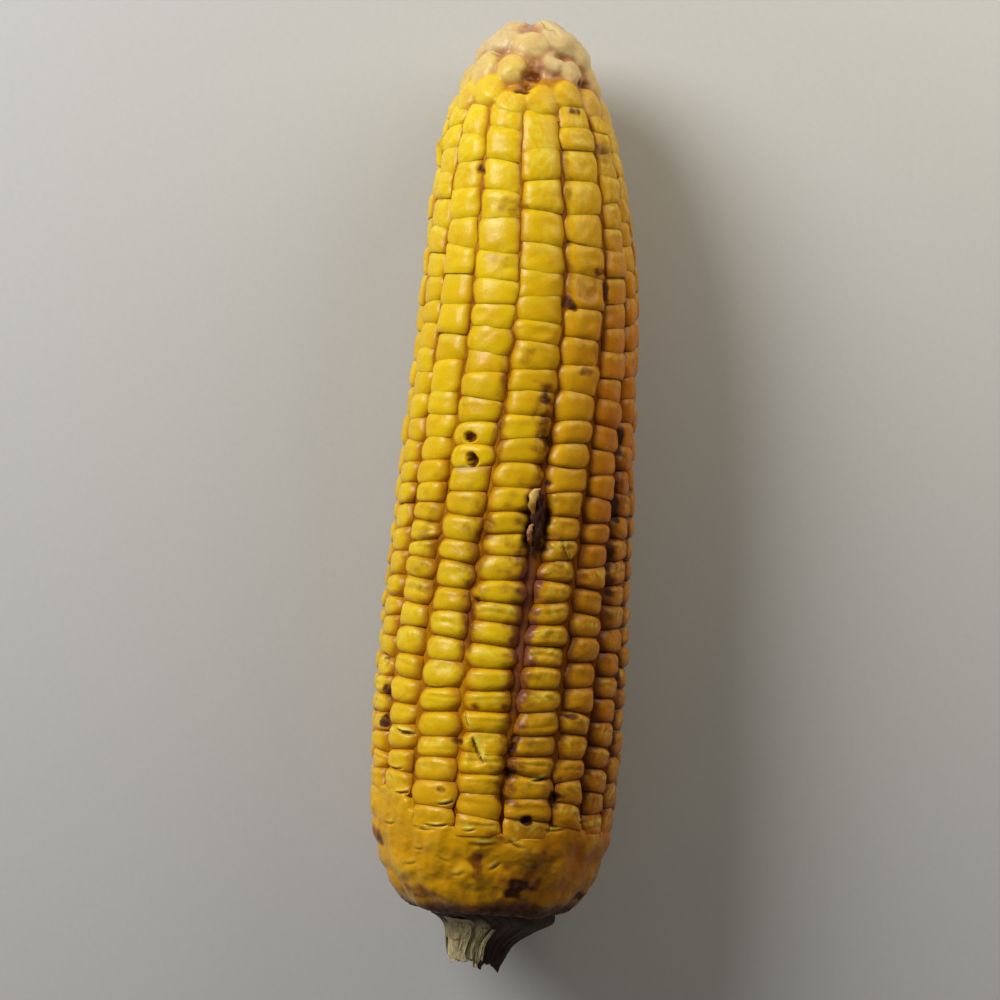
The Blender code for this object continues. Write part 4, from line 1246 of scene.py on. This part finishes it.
crown = blend(skin_tree, given["Tone"], CLEAR_YELLOW, FULL_YELLOW)
crown = blend(skin_tree, given["Gold"], crown, GOLD)
# Painted shade as well as cooking: deeper colour on the right and towards the stalk.
crown = blend(skin_tree, given["Cooked_and_shaded"], crown, blend(skin_tree, given["Tone"], COOKED_SHADED_YELLOW, COOKED_SHADED_GOLD))
crown = blend(skin_tree, remap(skin_tree, clouds, 0.45, 0.75, 0.0, 0.5), crown, WARM_CLOUD)
# Painted shade: the depth number darkens the skin towards the creases.
crease = remap(skin_tree, given["Depth"], 0.12, 1.0)
yellow = blend(skin_tree, crease, crown, blend(skin_tree, given["Cooked_and_shaded"], CREASE_SHADE, COOKED_CREASE_SHADE))
# Pale wax and painted highlight, in blotches.
wax_and_highlight_streaks = times(skin_tree, given["Wax_and_highlight"], remap(skin_tree, spots, 0.35, 0.68, 0.15, 1.0))
yellow = blend(skin_tree, wax_and_highlight_streaks, yellow, WAX_AND_HIGHLIGHT)
cream = blend(skin_tree, crease, CREAM, CREAM_CREASE_SHADE)
cream = blend(skin_tree, remap(skin_tree, clouds, 0.42, 0.7, 0.0, 0.7), cream, CREAM_CLOUD)

skin_tree.links.new(blend(skin_tree, given["Cream"], yellow, cream), result["Color"])
skin_tree.links.new(remap(skin_tree, fine, 0.3, 0.7, 0.22, 0.40), result["Roughness"])
print("the kernel skin takes", ", ".join(socket.name for socket in given if socket.name))

# %% [markdown]
# ## What the fire did to the colour
# Fire colours corn in steps. Sugar in the grooves caramelises to orange-brown, the skin under it goes purple
# where the dye of the chaff shows, and what lies against the coals turns to matt black char. A fine noise
# breaks up the edge of every stain.

# %% Fire marks
BROWNED, DYED, CHARRED = (0.19, 0.052, 0.005), (0.17, 0.052, 0.032), (0.04, 0.012, 0.005)
BURST_STARCH, MATT = (0.44, 0.33, 0.20), (0.78, 0.78, 0.78)

fire_tree, given, result = group(
    "Fire marks",
    [("Color", COLOR, (0.8, 0.5, 0.02, 1)), ("Roughness", FLOAT, 0.4), ("Brown", FLOAT, 0.0),
     ("Char", FLOAT, 0.0), ("Purple", FLOAT, 0.0), ("Pale", FLOAT, 0.0)],
    [("Color", COLOR), ("Roughness", FLOAT), ("Dark", FLOAT)],
)
patchy = remap(fire_tree, noise(fire_tree, 700.0, 4.0, Roughness=0.6), 0.25, 0.75, 0.7, 1.25)
either = calculate(fire_tree, "MAXIMUM", given["Brown"], times(fire_tree, given["Char"], 1.3))
browned = remap(fire_tree, times(fire_tree, either, patchy), 0.15, 1.0)
charred = remap(fire_tree, times(fire_tree, given["Char"], patchy), 0.3, 1.0)
dyed = remap(fire_tree, times(fire_tree, given["Purple"], patchy), 0.2, 1.0, 0.0, 0.85)
shade = given["Color"]
for share, color in ((browned, BROWNED), (dyed, DYED), (given["Pale"], BURST_STARCH), (charred, CHARRED)):
    shade = blend(fire_tree, share, shade, color)
fire_tree.links.new(shade, result["Color"])
fire_tree.links.new(charred, result["Dark"])
fire_tree.links.new(blend(fire_tree, charred, given["Roughness"], MATT), result["Roughness"])
print("fire marks ready")

# %% [markdown]
# ## Fine skin
# Cooking shrinks the skin into relief that is finer than the mesh: a grain, and soft folds about a millimetre
# and a half apart. It only tilts the normal, and it is rougher where the skin is charred.

# %% Cooked skin
fine_tree, given, result = group(
    "Cooked skin", [("Strength", FLOAT, 0.3), ("Dark", FLOAT, 0.0)], [("Normal", VECTOR)]
)
folds = times(fine_tree, noise(fine_tree, 620.0, 2.0, Distortion=0.6), 2.0)
height = calculate(fine_tree, "ADD", noise(fine_tree, 1800.0, 3.0), folds)
strength = calculate(fine_tree, "ADD", given["Strength"], times(fine_tree, given["Dark"], 0.4))
bump = node(fine_tree, "ShaderNodeBump", {"Height": height, "Strength": strength, "Distance": 0.00012})
fine_tree.links.new(bump.outputs["Normal"], result["Normal"])
print(len(bpy.data.node_groups), "shared node groups")

# %% [markdown]
# ## The materials of the food
# Cooked starch glows a little under its skin, so the kernels scatter light below the surface. The skin over
# it is thin and waxy and holds a soft sheen of fat. The chaff is dry, so it is duller and scatters less.

# %% Food materials
def food_material(name, cream, scatter, strength, shine):
    """A material for food, whose pale places are either cream kernels or burst starch."""
    made = bpy.data.materials.new(name)
    made.use_nodes = True
    tree = made.node_tree
    shader = tree.nodes["Principled BSDF"]
    pale = tint(tree, "pale")
    carried = {name: tint(tree, name.lower()) for name in ("Depth", "Tone", "Cooked_and_shaded", "Wax_and_highlight", "Gold")}
    carried["Cream"] = pale if cream else 0.0
    skin = node(tree, "ShaderNodeGroup", carried, node_tree=skin_tree).outputs
    marks = {name: tint(tree, name.lower()) for name in ("Brown", "Char", "Purple")}
    marks.update(Color=skin["Color"], Roughness=skin["Roughness"], Pale=0.0 if cream else pale)
    fire = node(tree, "ShaderNodeGroup", marks, node_tree=fire_tree).outputs
    relief = {"Strength": strength, "Dark": fire["Dark"]}
    relief = node(tree, "ShaderNodeGroup", relief, node_tree=fine_tree).outputs
    tree.links.new(fire["Color"], shader.inputs["Base Color"])
    tree.links.new(fire["Roughness"], shader.inputs["Roughness"])
    tree.links.new(relief["Normal"], shader.inputs["Normal"])
    surface = {
        "Subsurface Weight": scatter, "Subsurface Radius": (1.0, 0.5, 0.12), "Subsurface Scale": 0.0014,
        "Coat Weight": 0.12 * shine, "Coat Roughness": 0.22, "Specular IOR Level": shine,
    }
    for key, value in surface.items():
        shader.inputs[key].default_value = value
    return made


kernel_material = food_material("kernel", cream=False, scatter=0.25, strength=0.22, shine=0.2)
tip_material = food_material("tip_kernel", cream=True, scatter=0.25, strength=0.35, shine=0.25)
chaff_material = food_material("chaff", cream=False, scatter=0.1, strength=0.35, shine=0.06)
for piece in kernel_pieces + [butt_skin, burst]:
    piece.data.materials.append(kernel_material)
tip_skin.data.materials.append(tip_material)
chaff.data.materials.append(chaff_material)
print("food materials on", len(kernel_pieces) + 4, "pieces")

# %% [markdown]
# ## The material of the stalk
# The stalk is dry plant fibre. Its torn layers are straw, and the cone that the kernels sat on is stained red
# brown by the cob's own dye and by smoke. One noise, stretched along the ear, gives the fibres.

# %% Stalk material
STRAW_SHADE, STRAW = (0.36, 0.27, 0.12), (0.66, 0.55, 0.31)
GREEN_STRAW, GREY_STRAW = (0.40, 0.34, 0.15), (0.33, 0.29, 0.18)
DARK_WOOD, RED_WOOD, FIBRE_SHADE = (0.014, 0.004, 0.0025), (0.05, 0.012, 0.005), (0.08, 0.045, 0.02)

stalk_material = bpy.data.materials.new("stalk")
stalk_material.use_nodes = True
tree = stalk_material.node_tree
shader = tree.nodes["Principled BSDF"]
where = node(tree, "ShaderNodeTexCoord").outputs["Object"]
stretched = node(tree, "ShaderNodeMapping", {"Vector": where, "Scale": (1.0, 0.16, 1.0)}).outputs["Vector"]
fibre = noise(tree, 2600.0, 4.0, stretched, Roughness=0.6)
patch = noise(tree, 420.0, 3.0, where)
light_fibre = remap(tree, fibre, 0.35, 0.65)
straw = blend(tree, light_fibre, STRAW_SHADE, STRAW)
straw = blend(tree, times(tree, tint(tree, "tone"), 0.3), straw, GREEN_STRAW)
straw = blend(tree, remap(tree, patch, 0.5, 0.72, 0.0, 0.6), straw, GREY_STRAW)
shade = blend(tree, tint(tree, "pale"), blend(tree, light_fibre, DARK_WOOD, RED_WOOD), straw)
# Painted shade in the fibre valleys, and a painted shadow along the edges of the scraps near their roots.
shade = blend(tree, remap(tree, tint(tree, "depth"), 0.1, 0.5, 0.0, 0.5), shade, FIBRE_SHADE)
tree.links.new(shade, shader.inputs["Base Color"])
tree.links.new(remap(tree, fibre, 0.3, 0.7, 0.62, 0.85), shader.inputs["Roughness"])
bump = node(tree, "ShaderNodeBump", {"Height": fibre, "Strength": 0.7, "Distance": 0.0002})
tree.links.new(bump.outputs["Normal"], shader.inputs["Normal"])
for piece in stalk_pieces:
    piece.data.materials.append(stalk_material)
print("stalk material on", len(stalk_pieces), "pieces")

# %% [markdown]
# ## The camera
# The camera hangs straight over the ear, square to its axis, and is turned a few degrees, so that the ear
# leans in the picture. A long lens from 0.8 m keeps the far kernels as large as the near ones.

# %% Camera
CAMERA_DISTANCE, PICTURE_WIDTH, SENSOR = 800, 190, 36  # mm
AIM_STATION, AIM_SIDEWAYS, ROLL = 76.95, -2.45, math.radians(3.97)


def look_along(thing, at, towards, up):
    """Puts a camera or light at a place and turns it."""
    back = -towards.normalized()
    side = up.cross(back).normalized()
    turn = Matrix((side, back.cross(side), back)).transposed()
    thing.matrix_world = Matrix.Translation(at) @ turn.to_4x4()


up_of_ear = Vector((0, math.sin(DIP), math.cos(DIP)))
along_ear = Vector((0, math.cos(DIP), -math.sin(DIP)))
aim = Vector(place(np.array(0.0), np.array(AIM_STATION), np.array(0.0)).tolist())
aim.x = (AIM_SIDEWAYS + CENTRING[0]) * MM
picture_up = along_ear * math.cos(ROLL) - Vector((1, 0, 0)) * math.sin(ROLL)

camera_data = bpy.data.cameras.new("camera")
camera_data.sensor_width = SENSOR
camera_data.lens = SENSOR * CAMERA_DISTANCE / PICTURE_WIDTH
camera = bpy.data.objects.new("camera", camera_data)
bpy.context.scene.collection.objects.link(camera)
look_along(camera, aim + up_of_ear * CAMERA_DISTANCE * MM, -up_of_ear, picture_up)
bpy.context.scene.camera = camera
print("camera lens", round(camera_data.lens, 1), "mm")

# %% [markdown]
# ## Light
# A large soft light from the upper left models the kernels, and a weak warm one from the right keeps the
# shaded rows readable. A little light from all round stands for the room.

# %% Light
def area_light(name, direction, distance, size, power, color):
    """A round soft light that points at the middle of the ear."""
    data = bpy.data.lights.new(name, "AREA")
    data.shape, data.size, data.energy, data.color = "DISK", size, power, color
    light = bpy.data.objects.new(name, data)
    bpy.context.scene.collection.objects.link(light)
    offset = Vector(direction).normalized()
    look_along(light, aim + offset * distance, -offset, Vector((0, 1, 0)))


area_light("key", (-0.70, 0.55, 0.58), 0.62, 0.34, 4.1, (1.0, 0.985, 0.95))
area_light("fill", (0.60, 0.78, 0.42), 0.29, 0.22, 0.38, (1.0, 0.92, 0.72))

world = bpy.data.worlds.new("world")
world.use_nodes = True
world.node_tree.nodes["Background"].inputs["Color"].default_value = (1.0, 0.985, 0.94, 1)
world.node_tree.nodes["Background"].inputs["Strength"].default_value = 0.13
bpy.context.scene.world = world
bpy.context.scene.view_settings.view_transform = "Standard"
print(len(bpy.data.lights), "lights")

# %% [markdown]
# ## The floor
# The floor is a plain matt sheet for the picture only, a hair below the ear so that the two never flicker.

# %% Floor
FLOOR_HALF, FLOOR_GAP = 1.5, 0.00003  # m
floor_mesh = bpy.data.meshes.new("floor")
corners = [(x * FLOOR_HALF, y * FLOOR_HALF, 0) for x, y in ((-1, -1), (1, -1), (1, 1), (-1, 1))]
floor_mesh.from_pydata(corners, [], [(0, 1, 2, 3)])
floor = bpy.data.objects.new("floor", floor_mesh)
floor.location.z = -FLOOR_GAP
bpy.context.scene.collection.objects.link(floor)
floor_material = bpy.data.materials.new("floor")
floor_material.use_nodes = True
tree = floor_material.node_tree
shader = tree.nodes["Principled BSDF"]
speckled = blend(tree, noise(tree, 900.0, 2.0), (0.50, 0.50, 0.50), (0.54, 0.54, 0.54))
tree.links.new(speckled, shader.inputs["Base Color"])
shader.inputs["Roughness"].default_value = 0.85
floor_mesh.materials.append(floor_material)
print("floor", 2 * FLOOR_HALF, "m wide")

# %% [markdown]
# The last cell counts the triangles of the pieces. The imported solids and the looks must be the same
# size.

# %% Finish
bpy.context.view_layer.update()


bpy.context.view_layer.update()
pieces = kernel_pieces + [chaff, tip_skin, butt_skin, burst] + stalk_pieces
triangles = [sum(len(polygon.vertices) - 2 for polygon in piece.data.polygons) for piece in pieces]
print(sum(triangles), "triangles, at most", max(triangles), "a piece")
